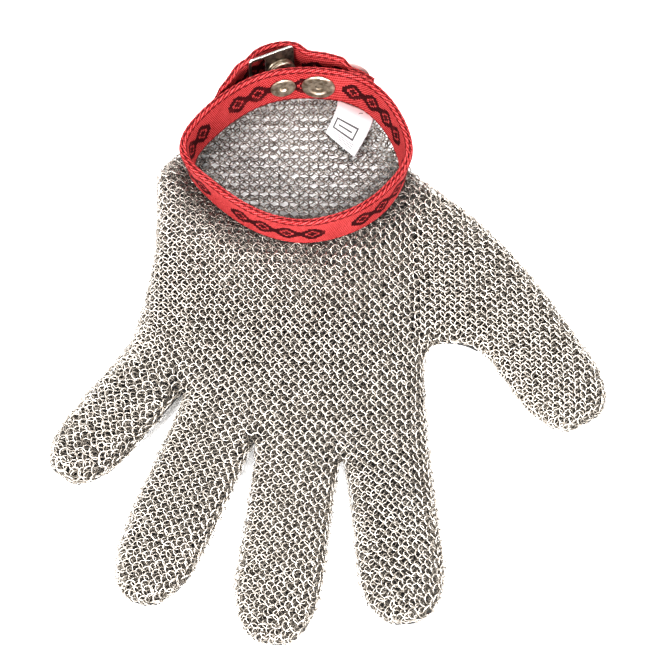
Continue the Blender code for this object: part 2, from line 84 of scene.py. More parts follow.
FINGERS = {  # first column, tip x, y, width at the middle, near the end and at the tip
    "little": (0, -91.5, -62.5, 31.0, 30.0, 13.0),
    "ring": (2, -61.5, -117.5, 35.5, 35.5, 15.5),
    "middle": (4, -8.0, -135.5, 36.0, 38.0, 18.0),
    "index": (6, 46.8, -126.5, 35.5, 38.5, 16.5),
}
FINGER_ROWS = (0.26, 0.56, 0.82, 1.0)
THUMB_ROWS = (  # at the web (x, y), and at the outer side
    (65.0, -3.0, 79.0, 49.0), (77.0, -6.0, 102.5, 19.5), (87.5, -25.0, 115.0, -1.0),
    (98.0, -38.0, 126.5, -17.5), (111.0, -43.5, 127.0, -33.0),
)
THUMB_FIRST_ROW, THUMB_LAST_ROW = 1, 4  # of the palm's rows that it grows from
THUMB_OUTLINE = (
    (50.0, -3.0), (57.0, -12.0), (100.0, -80.0), (160.0, -80.0), (160.0, 78.0), (72.0, 78.0),
    (50.0, 46.0),
)
FINGER_REACH, ROOT_FLARE = 220.0, 14.0  # of the outlines that tell the fingers' links apart
SKIN_LEVELS = 3


def sloping(y, near, far):
    """The height at y on the line between two (y, height) points."""
    return near[1] + (far[1] - near[1]) * (y - near[0]) / (far[0] - near[0])


def between(before, start, end, after, t):
    """A share t of the way from start to end, on the smooth curve through four points."""
    return 0.5 * (2 * start + (end - before) * t + (2 * before - 5 * start + 4 * end - after) * t**2
                  + (3 * start - before - 3 * end + after) * t**3)


def smooth_through(points, steps):
    """A smooth open curve through points, with the given number of steps between neighbours."""
    padded = [2 * points[0] - points[1], *points, 2 * points[-1] - points[-2]]
    fours = zip(padded, padded[1:], padded[2:], padded[3:])
    return [between(*four, k / steps) for four in fours for k in range(steps)] + [points[-1]]


def mouth_at(turn):
    """(x, y, lean) a given part of the way round the mouth."""
    place = (turn % 1.0) * len(MOUTH)
    first = int(place)
    points = (Vector(MOUTH[(first + k) % len(MOUTH)]) for k in (-1, 0, 1, 2))
    return between(*points, place - first)


def mouth_point(column, above):
    """Where the mail's open edge runs under the strap, by the near edge or by the far one."""
    share = (column + 0.5) / (2 * COLUMNS + 2)
    edge = mouth_at(0.5 - share if above else 0.5 + share)
    x, y = (middle + (place - middle) * EDGE_PULL for middle, place in zip(MOUTH_CENTRE, edge))
    return Vector((x, y, sloping(y, RIM_NEAR, RIM_FAR)))


def knuckle_point(column, above):
    height = FINGER_EDGE_HEIGHT if column in (0, COLUMNS) else KNUCKLE_HEIGHT
    return Vector((*KNUCKLES[column], height if above else 0.0))


def palm_point(row, column, above):
    """Where a vertex of the pattern lies on the upper or the lower layer of the hand."""
    last = len(PALM_ROWS) + 1
    if row == 0:
        return mouth_point(column, above)
    if row > last:
        return knuckle_point(column, above)
    if row == last:
        return palm_point(last - 1, column, above).lerp(knuckle_point(column, above), 0.5)
    left_x, left_y, right_x, right_y, above_y, height, edge_height, below_y = PALM_ROWS[row - 1]
    share = column / COLUMNS
    swell = 4 * share * (1 - share)
    middle_y = above_y if above else below_y
    y = left_y + (right_y - left_y) * share + (middle_y - (left_y + right_y) / 2) * swell
    z = edge_height + (height - edge_height) * min(1.0, EDGE_RISE * swell)
    return Vector((left_x + (right_x - left_x) * share, y, z if above else 0.0))


def finger_line(finger):
    """The middle of a finger's root, its tip and its direction, in plan."""
    first, tip_x, tip_y, *_ = FINGERS[finger]
    root = (Vector(KNUCKLES[first]) + Vector(KNUCKLES[first + 2])) / 2
    tip = Vector((tip_x, tip_y))
    return root, tip, (tip - root).normalized()


def digit_height(step, rows, at_edge, above):
    if not above:
        return 0.0
    return TIP_HEIGHT if step == len(rows) - 1 else FINGER_EDGE_HEIGHT if at_edge else FINGER_HEIGHT


def finger_point(finger, step, side, above):
    """A vertex on a row across a finger: side is -1, 0 or 1."""
    root, tip, along = finger_line(finger)
    width = FINGERS[finger][3:][max(step - 1, 0)]
    place = root.lerp(tip, FINGER_ROWS[step]) + Vector((-along.y, along.x)) * (side * width / 2)
    return Vector((*place, digit_height(step, FINGER_ROWS, side, above)))


def thumb_point(step, share, above):
    """A vertex on a row across the thumb: share is 0 at its outer side and 1 at the web."""
    web_x, web_y, outer_x, outer_y = THUMB_ROWS[step]
    return Vector((outer_x + (web_x - outer_x) * share, outer_y + (web_y - outer_y) * share,
                   digit_height(step, THUMB_ROWS, share in (0, 1), above)))


def next_row(bm, row):
    """Extrudes the edges along a row of vertices, and returns the new row in the same order."""
    edges = [next(e for e in a.link_edges if e.other_vert(a) is b) for a, b in zip(row, row[1:])]
    made = set(bmesh.ops.extrude_edge_only(bm, edges=edges)["geom"])
    return [next(e.other_vert(v) for e in v.link_edges if e.other_vert(v) in made) for v in row]


def hand_skin():
    """The outer surface of the mail as a mesh: one smooth surface, open at the mouth only."""
    rows = len(PALM_ROWS) + 2
    bm = bmesh.new()
    number = bm.verts.layers.int.new("number")
    bmesh.ops.create_grid(bm, x_segments=COLUMNS, y_segments=rows, size=1.0)
    in_rows = sorted(bm.verts, key=lambda v: (-round(v.co.y, 4), round(v.co.x, 4)))
    grid = [in_rows[r * (COLUMNS + 1):(r + 1) * (COLUMNS + 1)] for r in range(rows + 1)]
    layers = []

    def settle(row, shares, point, *where):
        """Gives a row of the pattern its place on both layers."""
        for vert, share in zip(row, shares):
            vert[number] = len(layers)
            layers.append([point(*where, share, above) * MM for above in (True, False)])
            vert.co = layers[-1][0]

    for r, row in enumerate(grid):
        settle(row, range(COLUMNS + 1), palm_point, r)
    for name, (first, *_) in FINGERS.items():
        row = grid[-1][first:first + 3]
        for step in range(len(FINGER_ROWS)):
            row = next_row(bm, row)
            settle(row, (-1, 0, 1), finger_point, name, step)
    row = [grid[r][COLUMNS] for r in range(THUMB_FIRST_ROW, THUMB_LAST_ROW + 1)]
    for step in range(len(THUMB_ROWS)):
        row = next_row(bm, row)
        settle(row, [n / (len(row) - 1) for n in range(len(row))], thumb_point, step)

    at_mouth = {vert[number] for vert in grid[0]}
    made = bmesh.ops.extrude_face_region(bm, geom=list(bm.faces))["geom"]
    for vert in (g for g in made if isinstance(g, bmesh.types.BMVert)):
        vert.co = layers[vert[number]][1]
    closing = [f for f in bm.faces if all(v[number] in at_mouth for v in f.verts)]
    bmesh.ops.delete(bm, geom=closing, context="FACES")
    bmesh.ops.recalc_face_normals(bm, faces=bm.faces)
    skin = new_object("hand_skin", bm)
    rounding = skin.modifiers.new("rounded", "SUBSURF")
    rounding.levels = rounding.render_levels = SKIN_LEVELS
    graph = bpy.context.evaluated_depsgraph_get()
    mesh = bpy.data.meshes.new_from_object(skin.evaluated_get(graph))
    bpy.data.objects.remove(skin)
    return mesh


# ---- the strap's way
STRAP_WIDTH, STRAP_THICKNESS, TAIL_THICKNESS = 18.5, 3.2, 2.6
STRAP_MIDDLE = 7.75  # from the edge that the table gives up to the middle of the strap
TURN_STEP = 0.002  # of the way round, to find a direction by
FAR_SIDE = (0.5, 0.95)  # where the strap's far side starts and ends
TAIL = (  # mid-thickness, from where it is sewn on: (x, stand-off)
    (-31.5, 1.8), (-27.5, 1.8), (-24.2, 2.4), (-21.8, 4.4), (-20.2, 6.2), (-18.2, 7.2), (-16.2, 7.6),
    (-14.6, 8.8), (-12.8, 10.4), (-10.0, 11.4), (-6.8, 11.9), (-3.2, 12.0), (0.4, 11.5), (3.2, 10.3),
    (5.2, 8.2), (7.0, 6.8), (10.0, 6.2), (14.0, 5.8), (19.5, 4.8), (24.0, 3.9), (29.0, 3.2),
    (32.5, 2.8),
)
TAIL_RAISE, PLATE_RAISE = 0.5, 1.1  # of their middles over the strap's middle
PLATE_LEFT, PLATE_RIGHT = (-16.4, 5.6), (1.6, 8.9)  # (x, stand-off) of the clasp plate's ends


def edge_at(turn):
    """A point of the strap's bottom edge, and how far the strap leans outwards there."""
    x, y, lean = mouth_at(turn)
    return Vector((x, y, sloping(y, STRAP_NEAR, STRAP_FAR))), math.radians(lean)


def strap_frame(turn):
    """Where the strap stands: its bottom edge's point, the way along it, outwards, and up its face."""
    foot, lean = edge_at(turn)
    along = (edge_at(turn + TURN_STEP)[0] - edge_at(turn - TURN_STEP)[0]).normalized()
    outwards = Vector((-along.y, along.x, 0)).normalized()
    if outwards.xy.dot(foot.xy - Vector(MOUTH_CENTRE)) < 0:
        outwards.negate()
    up = (Vector((0, 0, 1)) * math.cos(lean) + outwards * math.sin(lean)).normalized()
    face = up.cross(along).normalized()
    if face.dot(outwards) < 0:
        face.negate()
    return foot, along, face, up


def off_strap(turn, stand_off):
    """A point off the strap's outer face at mid-width, with the strap's directions there."""
    foot, along, face, up = strap_frame(turn)
    centre = foot + up * STRAP_MIDDLE + face * (STRAP_THICKNESS / 2 + stand_off)
    return centre, along, face, up


def halved(low, high, short):
    """The number between low and high up to which short is true, found by halving."""
    for _ in range(40):
        middle = (low + high) / 2
        low, high = (middle, high) if short(middle) else (low, middle)
    return (low + high) / 2


def on_strap(x, stand_off=0.0):
    """The same on the far side, for the point that has this x."""
    turn = halved(*FAR_SIDE, lambda turn: off_strap(turn, stand_off)[0].x < x)
    return off_strap(turn, stand_off)


def placed(point, *axes):
    """A placement at a point in millimetres, with x, y and z turned to three directions."""
    return Matrix.Translation(point * MM) @ Matrix(axes).transposed().to_4x4()


def facing(x, stand_off=0.0, raised=0.0):
    """A placement on the strap whose z axis points outwards."""
    centre, along, face, up = on_strap(x, stand_off)
    return placed(centre + up * raised, along, face.cross(along), face)


def plate_frame():
    """The clasp plate's middle and length, and its directions along, outwards and up."""
    left, right = on_strap(*PLATE_LEFT)[0], on_strap(*PLATE_RIGHT)[0]
    up = on_strap((PLATE_LEFT[0] + PLATE_RIGHT[0]) / 2)[3]
    along = (right - left).normalized()
    face = up.cross(along).normalized()
    middle = (left + right) / 2 + up * PLATE_RAISE
    return middle, (right - left).length, along, face, along.cross(face)


def on_plate(x, stand_off):
    """A placement at a point off the strap, whose z axis is square to the clasp plate."""
    _, _, along, face, _ = plate_frame()
    return placed(on_strap(x, stand_off)[0], along, face.cross(along), face)


# ---- mesh helpers
def linked(name, data):
    obj = bpy.data.objects.new(name, data)
    bpy.context.scene.collection.objects.link(obj)
    return obj


def new_object(name, bm, *finishes):
    """A smoothly shaded object of a bmesh, which is freed."""
    mesh = bpy.data.meshes.new(name)
    bm.to_mesh(mesh)
    bm.free()
    mesh.shade_smooth()
    for finish in finishes:
        mesh.materials.append(finish)
    return linked(name, mesh)


def spun(bm, sides, merged):
    """Turns the edges of a profile once round the z axis."""
    bmesh.ops.spin(bm, geom=bm.edges[:], axis=(0, 0, 1), cent=(0, 0, 0), dvec=(0, 0, 0),
                   angle=math.tau, steps=sides, use_merge=True)
    bmesh.ops.remove_doubles(bm, verts=bm.verts, dist=merged)
    bmesh.ops.recalc_face_normals(bm, faces=bm.faces)


def mapped(bm, layer, where):
    """Gives every face's corners the UV place of their vertex."""
    for f in bm.faces:
        for loop in f.loops:
            loop[layer].uv = where[loop.vert]


def read(items, key, kind=np.float64):
    """A property of every item of a mesh as rows of three numbers."""
    values = np.empty(len(items) * 3, kind)
    items.foreach_get(key, values)
    return values.reshape(-1, 3)


def unit(vectors):
    return vectors / np.maximum(np.linalg.norm(vectors, axis=-1, keepdims=True), 1e-12)


def dot(first, second):
    """The products of two lists of vectors, one to a row."""
    return np.einsum("nc,nc->n", first, second)[:, None]


def distances(points):
    """How far along the line through all the points each of them is."""
    return [0.0, *accumulate(math.dist(a, b) for a, b in zip(points, points[1:]))]


def dressed(obj, slot, *nodes):
    """A finished piece rides with the glove and stands for its solids."""
    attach(obj, "root")
    if nodes:
        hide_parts(*nodes)


# ---- shader helper
def feed(node, values):
    """Gives a node's sockets, each named or numbered after an i, their values or links."""
    for key, value in values.items():
        socket = node.inputs[int(key[1:]) if key[1:].isdigit() else key.replace("_", " ")]
        if isinstance(value, Value):
            node.id_data.links.new(value.socket, socket)
        elif socket.type == "RGBA":
            socket.default_value = (*value, 1.0)
        else:
            socket.default_value = value


def operator(operation, reflected=False):
    """The method of a Value that adds one kind of Math node."""
    def method(self, *others):
        values = (*others, self) if reflected else (self, *others)
        inputs = {f"i{n}": value for n, value in enumerate(values)}
        return self.node("ShaderNodeMath", settings={"operation": operation}, **inputs)
    return method


class Value:
    """A socket that can be reckoned with: each operator adds its Math node."""

    def __init__(self, socket):
        self.socket = socket

    def node(self, kind, output=0, settings=None, **inputs):
        """Adds a node, gives it its settings and then its inputs, and returns one of its outputs."""
        node = self.socket.id_data.nodes.new(kind)
        for key, value in (settings or {}).items():
            setattr(node, key, value)
        feed(node, inputs)
        return Value(node.outputs[output])

    def output(self, number):
        """Another output of the node that this one is from."""
        return Value(self.socket.node.outputs[number])

    __add__ = __radd__ = operator("ADD")
    __sub__ = operator("SUBTRACT")
    __rsub__ = operator("SUBTRACT", reflected=True)
    __mul__ = __rmul__ = operator("MULTIPLY")
    __truediv__ = operator("DIVIDE")
    __lt__ = operator("LESS_THAN")
    __gt__ = operator("GREATER_THAN")
    __abs__ = operator("ABSOLUTE")
    __floor__ = operator("FLOOR")
    __mod__ = operator("MODULO")
    least = operator("MINIMUM")
    most = operator("MAXIMUM")
    near = operator("COMPARE")
    to_and_fro = operator("PINGPONG")
    sine = operator("SINE")

    def wave(self, period):
        """A wave from 0 to 1 over this value, in its own unit."""
        return (self * (math.tau / period)).sine() * 0.5 + 0.5

    def smooth(self, low, high):
        """0 below low and 1 above high."""
        return self.node("ShaderNodeMapRange", settings={"interpolation_type": "SMOOTHSTEP"},
                         Value=self, From_Min=low, From_Max=high)

    def mix(self, first, second):
        """From one colour to another as this value goes from 0 to 1."""
        return self.node("ShaderNodeMix", 2, {"data_type": "RGBA"}, i0=self, i6=first, i7=second)


class Finish(Value):
    """A material's shader, whose changing values are fed to its sockets by name."""

    def __init__(self, name, **values):
        self.material = bpy.data.materials.new(name)
        self.material.use_nodes = True
        super().__init__(self.material.node_tree.nodes["Principled BSDF"].outputs[0])
        self.feed(**values)

    def feed(self, **values):
        feed(self.socket.node, values)
        return self.material

    def place(self):
        return self.node("ShaderNodeTexCoord", 3)

    def noise(self, scale, detail=2.0):
        return self.node("ShaderNodeTexNoise", Vector=self.place(), Scale=scale, Detail=detail)

    def attribute(self, name):
        return self.node("ShaderNodeAttribute", 2, {"attribute_name": name})

    def uv(self, name):
        """The two numbers of a UV map."""
        u = self.node("ShaderNodeSeparateXYZ", i0=self.node("ShaderNodeUVMap", settings={"uv_map": name}))
        return u, u.output(1)

    def relief(self, height, distance, strength):
        return self.node("ShaderNodeBump", Height=height, Distance=distance, Strength=strength)


# ---- the links
LINK_SIDES, WIRE_SIDES = 12, 4  # facets round a link and round its wire
CLOSEST, WIDEST_GAP = 0.0017, 0.0026  # least way between two links, and a bare place that gets one
DEPTH = 0.0010  # of the links' middles under the hand's skin
ROW_START = (0.004, 0.0)  # where the rows are counted from, in plan
TURN_BEFORE, TURN_AFTER = 26.0, 22.0  # rows turn to a finger's own way from above its root to down it
TURN_WIDTH = 14.0  # and this far to each side of its line
OPEN_SHRINK = 0.02  # share that links inside the mouth are smaller by
STRAY_LEAN, STRAY_LAP = 0.12, 0.10  # how unevenly links tip, in radians
STRAY_PLACE = (0.16, 0.12, 0.10)  # and lie: along a row, down the hand and outwards
LOOSE_FROM, LOOSE_TIPS, LOOSE_LITTLE = 0.45, 1.6, 0.7  # more so along fingers and on the little one
SHADE_SPREAD = 0.24  # of the links' shades, about one half
FLOOR_GAP = 0.00005  # under the lowest link
PAINTED_SHADE_BELOW = (-0.7, 0.35)  # painted shade on a link below the first height over its middle, none above the other


def gradients(corners):
    """Each triangle's area and the slopes of its three corner values."""
    sides = corners[:, [2, 0, 1]] - corners[:, [1, 2, 0]]
    square = np.cross(sides[:, 0], sides[:, 1])
    area = np.linalg.norm(square, axis=1) / 2
    return area, np.cross(unit(square)[:, None], sides) / (2 * area[:, None, None])


def unrolled(count, triangles, area, slopes, wanted, rounds=900):
    """Vertex values whose slope in each triangle is as near as can be to the one that is wanted."""
    def gather(numbers):
        return np.bincount(triangles.ravel(), (numbers * area[:, None]).ravel(), count)

    diagonal = gather(np.einsum("tkc,tkc->tk", slopes, slopes))
    diagonal[diagonal == 0] = 1.0
    values = np.zeros(count)
    left = gather(np.einsum("tkc,tc->tk", slopes, wanted))
    first = np.abs(left).max()
    step = left / diagonal
    way, size = step.copy(), left @ step
    for _ in range(rounds):
        slope = np.einsum("tkc,tk->tc", slopes, way[triangles])
        pull = gather(np.einsum("tkc,tc->tk", slopes, slope))
        share = size / (way @ pull)
        values += share * way
        left -= share * pull
        if np.abs(left).max() < 1e-7 * first:
            break
        step = left / diagonal
        size, before = left @ step, size
        way = step + way * (size / before)
    return values


def inside(outline, points):
    """Which points are inside a plan outline."""
    found = np.zeros(len(points), bool)
    x, y = points.T
    for (ax, ay), (bx, by) in zip(outline, [*outline[1:], outline[0]]):
        if ay != by:
            found ^= ((ay > y) != (by > y)) & (x < (bx - ax) * (y - ay) / (by - ay) + ax)
    return found


def finger_outlines():
    """The plan outline that each finger's links are known by."""
    ways = [finger_line(name)[2] for name in FINGERS]
    roots = [Vector(KNUCKLES[first]) for first, *_ in FINGERS.values()] + [Vector(KNUCKLES[-1])]
    roots[0] -= (roots[1] - roots[0]).normalized() * ROOT_FLARE
    roots[-1] += (roots[-1] - roots[-2]).normalized() * ROOT_FLARE
    sides = [ways[0], *[(a + b).normalized() for a, b in zip(ways, ways[1:])], ways[-1]]
    ends = [root + side * FINGER_REACH for root, side in zip(roots, sides)]
    return {name: [tuple(p) for p in (ends[n], roots[n], roots[n + 1], ends[n + 1])]
            for n, name in enumerate(FINGERS)}


def lengthwise(plan):
    """The way down the hand at plan points: straight over the palm, turning into each finger's own."""
    total, way = np.zeros(len(plan)), np.zeros((len(plan), 3))
    for name in FINGERS:
        root, _, along = finger_line(name)
        off = plan - np.array(root)
        down = off @ np.array(along)
        aside = off @ np.array((-along.y, along.x))
        share = np.clip((down + TURN_BEFORE) / (TURN_BEFORE + TURN_AFTER), 0, 1)
        share = (share * share * (3 - 2 * share))[:, None]
        near = np.exp(-(aside / TURN_WIDTH) ** 2) + 1e-9
        total += near
        way += near[:, None] * (share * np.array((*along, 0)) + (1 - share) * np.array((0, -1, 0)))
    return way / total[:, None]


def lattice_points(corners, normals, slopes, along, down, pitch, row_pitch):
    """The links' places, outward and downward directions and rows on some triangles of the skin.

    along and down are the unrolled values at the triangles' corners.
    """
    u, v = along / pitch, down / row_pitch
    (u0, u1, u2), (v0, v1, v2) = u.T, v.T
    turn = (u1 - u0) * (v2 - v0) - (v1 - v0) * (u2 - u0)
    turn = np.where(np.abs(turn) < 1e-12, 1e-12, turn)
    way = np.einsum("tkc,tk->tc", slopes, down)
    found = []
    for row_step in range(4):
        row = np.ceil(v.min(1)) + row_step
        shift = 0.5 * np.mod(row, 2)
        for link_step in range(3):
            target = np.ceil(u.min(1) - shift) + link_step + shift
            b1 = ((target - u0) * (v2 - v0) - (row - v0) * (u2 - u0)) / turn
            b2 = ((u1 - u0) * (row - v0) - (v1 - v0) * (target - u0)) / turn
            weights = np.stack((1 - b1 - b2, b1, b2), axis=1)
            hit = (weights > -1e-6).all(1)
            place, facing = (np.einsum("tk,tkc->tc", weights[hit], values[hit])
                             for values in (corners, normals))
            found.append((place, unit(facing), way[hit], row[hit], target[hit]))
    *parts, target = (np.concatenate(part) for part in zip(*found))
    order = np.lexsort((target, parts[-1]))
    return [part[order] for part in parts]


class Thinned:
    """The links laid so far, kept by cell so that the nearest one to a place is soon found."""

    def __init__(self, cell):
        self.cell = cell
        self.cells = {}

    def key(self, place):
        return tuple(math.floor(c / self.cell) for c in place)

    def nearest(self, place):
        around = product(*((c - 1, c, c + 1) for c in self.key(place)))
        near = (other for key in around for other in self.cells.get(key, ()))
        return min((math.dist(place, other) for other in near), default=math.inf)

    def add(self, place):
        self.cells.setdefault(self.key(place), []).append(tuple(place))


def laid_links(settings):
    """Every link's place, outward direction, downward direction and row number."""
    skin = hand_skin()
    skin.calc_loop_triangles()
    places, normals = read(skin.vertices, "co"), read(skin.vertices, "normal")
    triangles = read(skin.loop_triangles, "vertices", np.int32)
    bpy.data.meshes.remove(skin)
    corners = places[triangles]
    area, slopes = gradients(corners)
    square = unit(np.cross(corners[:, 1] - corners[:, 0], corners[:, 2] - corners[:, 0]))
    plan = corners.mean(1)[:, :2] / MM
    on_thumb = inside(THUMB_OUTLINE, plan)
    upper = square[:, 2] > 0
    from_start = np.linalg.norm(places[:, :2] - ROW_START, axis=1)
    kept, taken = [], Thinned(settings.pitch)

    def numbers(part, way):
        """Unrolls a part of the skin, so that the numbers grow along a way."""
        return unrolled(len(places), triangles[part], area[part], slopes[part], way)

    for thumb, row_pitch in enumerate((settings.row_pitch, settings.thumb_row_pitch)):
        way = np.tile((0.0, -1.0, 0.0), (len(plan), 1)) if thumb else lengthwise(plan)
        way = unit(way - square * dot(way, square))
        down = numbers(on_thumb == thumb, way[on_thumb == thumb])
        for above in (True, False):
            part = (on_thumb == thumb) & (upper == above)
            across = np.cross(square[part], way[part])
            along = numbers(part, across if above else -across)
            t = triangles[part]
            used = np.isin(np.arange(len(places)), t)
            along -= along[np.argmin(np.where(used, from_start, 1e9))]
            links = lattice_points(corners[part], normals[t], slopes[part], along[t], down[t],
                                   settings.pitch, row_pitch)
            for link in zip(*links):
                if taken.nearest(link[0]) > CLOSEST:
                    taken.add(link[0])
                    kept.append(link)
    for n in np.unique(triangles):
        if taken.nearest(places[n]) > WIDEST_GAP:
            taken.add(places[n])
            kept.append((places[n], normals[n], Vector(normals[n]).orthogonal(), n % 2))
    return [np.array(part) for part in zip(*kept)]


def link_template(settings):
    """Vertices and faces of one link lying in the XY plane."""
    bm = bmesh.new()
    wire = settings.wire / 2
    bmesh.ops.create_circle(bm, segments=WIRE_SIDES, radius=wire)
    bmesh.ops.rotate(bm, verts=bm.verts, cent=(0, 0, 0), matrix=Matrix.Rotation(math.pi / 2, 3, "X"))
    bmesh.ops.translate(bm, verts=bm.verts, vec=(settings.link_diameter / 2 - wire, 0, 0))
    spun(bm, LINK_SIDES, 1e-6)
    bm.verts.index_update()
    verts = np.array([v.co for v in bm.verts])
    faces = np.array([[v.index for v in f.verts] for f in bm.faces])
    bm.free()
    return verts, faces


def joined_links(name, template, places, axes, outwards, shades, closed, finish):
    """One mesh of many links; axes holds each link's three directions as rows.

    Painted shade darkens a link's inner side where the hand is closed, and the links inside the mouth are
    marked for a painted shade of their own.
    """
    verts, faces = template
    offsets = np.einsum("vk,nkc->nvc", verts, axes)
    points = offsets + places[:, None]
    points[:, :, 2] += np.maximum(FLOOR_GAP - points[:, :, 2].min(1), 0)[:, None]
    height = np.einsum("nvc,nc->nv", offsets, outwards) / MM
    # painted shade: each link darker on its side towards the inside of the hand, where the hand is closed
    painted_shade = np.clip((PAINTED_SHADE_BELOW[1] - height) / (PAINTED_SHADE_BELOW[1] - PAINTED_SHADE_BELOW[0]), 0, 1) * closed[:, None]
    corners = faces[None] + (np.arange(len(places)) * len(verts))[:, None, None]
    mesh = bpy.data.meshes.new(name)
    mesh.from_pydata(points.reshape(-1, 3), [], corners.reshape(-1, 4))
    mesh.shade_smooth()
    for key, values in (("link_shade", np.repeat(shades, len(verts))),
                        ("link_mouth_shade", np.repeat(1 - closed, len(verts))),
                        ("link_painted_shade", painted_shade.ravel())):
        mesh.attributes.new(key, "FLOAT", "POINT").data.foreach_set("value", values.astype(np.float32))
    mesh.materials.append(finish)
    return linked(name, mesh)


def link_steel(settings):
    """Stainless wire: each link its own shade, with fine drawn marks and dull spots, and painted shade on
    the links' inner sides and on the links inside the mouth.
    """
    finish = Finish("link_steel", Metallic=1.0)
    shade, painted_shade, mouth_shade = (finish.attribute(f"link_{key}") for key in ("shade", "painted_shade", "mouth_shade"))
    blotch = finish.noise(900.0).smooth(0.35, 0.7)
    colour = (shade * 0.7 + blotch * 0.3).mix(settings.steel_dark, settings.steel_light)
    # painted shade on the links' inner sides
    colour = painted_shade.mix(colour, settings.steel_painted_shade)
    # painted shade: the links inside the mouth darkened all round
    colour = (mouth_shade * settings.mouth_shade).mix(colour, settings.steel_mouth_shade)
    rough = settings.roughness + blotch * 0.16 + shade * 0.06 + painted_shade * 0.25
    scratches = finish.relief(finish.noise(5200.0, 3.0), 0.00002, 0.35)
    return finish.feed(Base_Color=colour, Roughness=rough, Normal=scratches)


def mail(settings):
    places, facing, way, row = laid_links(settings)
    plan = places[:, :2] / MM
    rng = np.random.default_rng(settings.seed)
    count = len(places)
    loose = np.ones(count)
    belongs = np.where(facing[:, 2] > 0, "palm_upper", "palm_lower").astype(object)
    for name, outline in finger_outlines().items():
        part = inside(outline, plan)
        belongs[part] = name
        root, tip, along = finger_line(name)
        reach = (plan[part] - np.array(root)) @ np.array(along) / (tip - root).length
        loose[part] = 1 + np.clip(reach - LOOSE_FROM, 0, 1) * LOOSE_TIPS
        loose[part] += LOOSE_LITTLE * (name == "little")
    on_thumb = inside(THUMB_OUTLINE, plan)
    belongs[on_thumb] = "thumb"

    def stray(size, *shape):
        """Uneven amounts about zero, greater where the links are loose."""
        drawn = rng.normal(0, settings.unevenness, (count, *shape))
        return drawn * size * (loose[:, None] if shape else loose)

    down = unit(way - facing * dot(way, facing))
    across = np.cross(facing, down)
    away = np.linalg.norm((plan - MOUTH_CENTRE) / MOUTH_OPEN, axis=1)
    closed = np.clip((away - 1) / MOUTH_FADE, 0, 1)
    lean = np.where(on_thumb, settings.thumb_lean, settings.lean) * closed
    lean += settings.open_lean * (1 - closed) + stray(STRAY_LEAN)
    lean *= np.where(np.mod(row, 2) == 1, 1, -1)
    lap = settings.lap * (settings.open_lap + (1 - settings.open_lap) * closed) + stray(STRAY_LAP)
    axis = facing * np.cos(lean)[:, None] + down * np.sin(lean)[:, None]
    axis = unit(axis + across * np.sin(lap)[:, None])
    side = unit(across - axis * dot(across, axis))
    spin = rng.uniform(0, math.tau, count)[:, None]
    other = np.cross(axis, side)
    axes = np.stack((side * np.cos(spin) + other * np.sin(spin),
                     other * np.cos(spin) - side * np.sin(spin), axis), axis=1)
    axes *= (1 - OPEN_SHRINK * (1 - closed))[:, None, None]
    slack = stray(MM, 3) * STRAY_PLACE
    places = (places - facing * DEPTH + across * slack[:, :1] + down * slack[:, 1:2]
              + facing * slack[:, 2:])
    shades = np.clip(rng.normal(0.5, SHADE_SPREAD, count), 0, 1)

    finish, template = link_steel(settings), link_template(settings)
    for name in ("palm_upper", "palm_lower", "thumb", *FINGERS):
        part = belongs == name
        piece = joined_links(f"links_{name}", template, places[part], axes[part], facing[part],
                             shades[part], closed[part], finish)
        dressed(piece, "mail_links", "mail_palm" if name.startswith("palm") else f"mail_{name}")


# ---- the webbing
LOOP_STEPS, TAIL_STEPS = 640, 11  # sections round the strap, and between two points of the tail
FACE_DIP = 0.08  # of the faces below the edges
EDGE_BAND = (2.7, 2.1)  # the cord edge begins and is full this far round from the strap's edge
EDGE_PLY = 2.0  # width of one of the two cords that lie side by side along the edge
EDGE_SLANT = 0.9  # run of their twist along the strap for each step across it
PLY_SQUARE, TWIST_SQUARE, TWIST_SHARE = 0.7, 0.6, 0.6  # how square they are, and how much the twist cuts
THIN_END, THIN_RUN = 0.22, (-31.5, -23.0)  # the tail's sewn end, and the x it thickens between
SEWN_END, SEWN_RUN = 0.60, (-31.5, -25.5)  # how narrow that end is, and the x it widens between
CUT_END, CUT_RUN = 0.55, (20.0, 24.5)  # its free end, and the x it narrows between
SEWN_X, SEWN_IN = (-30.6, -25.5), 2.8  # the seam's two ends, and how far in from the edges
STITCH_ENDS = (0.12, 0.88)  # shares of a stitch's pitch
GROUP, GROUP_WRITTEN = 46.0, 35.5  # picks from one row of lozenges to the next, and in a row
LOZENGE, LOZENGE_MIDDLE, LOZENGE_ROWS = 9.0, 4.0, 4.5  # picks, and yarns above its middle
LOZENGE_LINE, LOZENGE_HEART = (3.6, 1.5), 1.5  # middle and half width of its outline, and its heart
TURNED_BACK = -0.2  # the tail's outward way is turned round when it points this far inwards


def webbing_section(width, thickness):
    """Half of a strap's section from the middle of its outer face to the middle of its inner face.

    Each point is (across the thickness, up the width); the edges are fuller than the faces.
    """
    radius = thickness / 2
    top = width / 2 - radius
    face = [(radius - FACE_DIP, top * share) for share in (0.0, 0.2, 0.4, 0.6, 0.76, 0.88)]
    turns = [math.radians(degrees) for degrees in range(-15, 196, 15)]
    edge = [(radius * math.cos(turn), top + radius * math.sin(turn)) for turn in turns]
    return face + edge + [(-x, y) for x, y in reversed(face)]


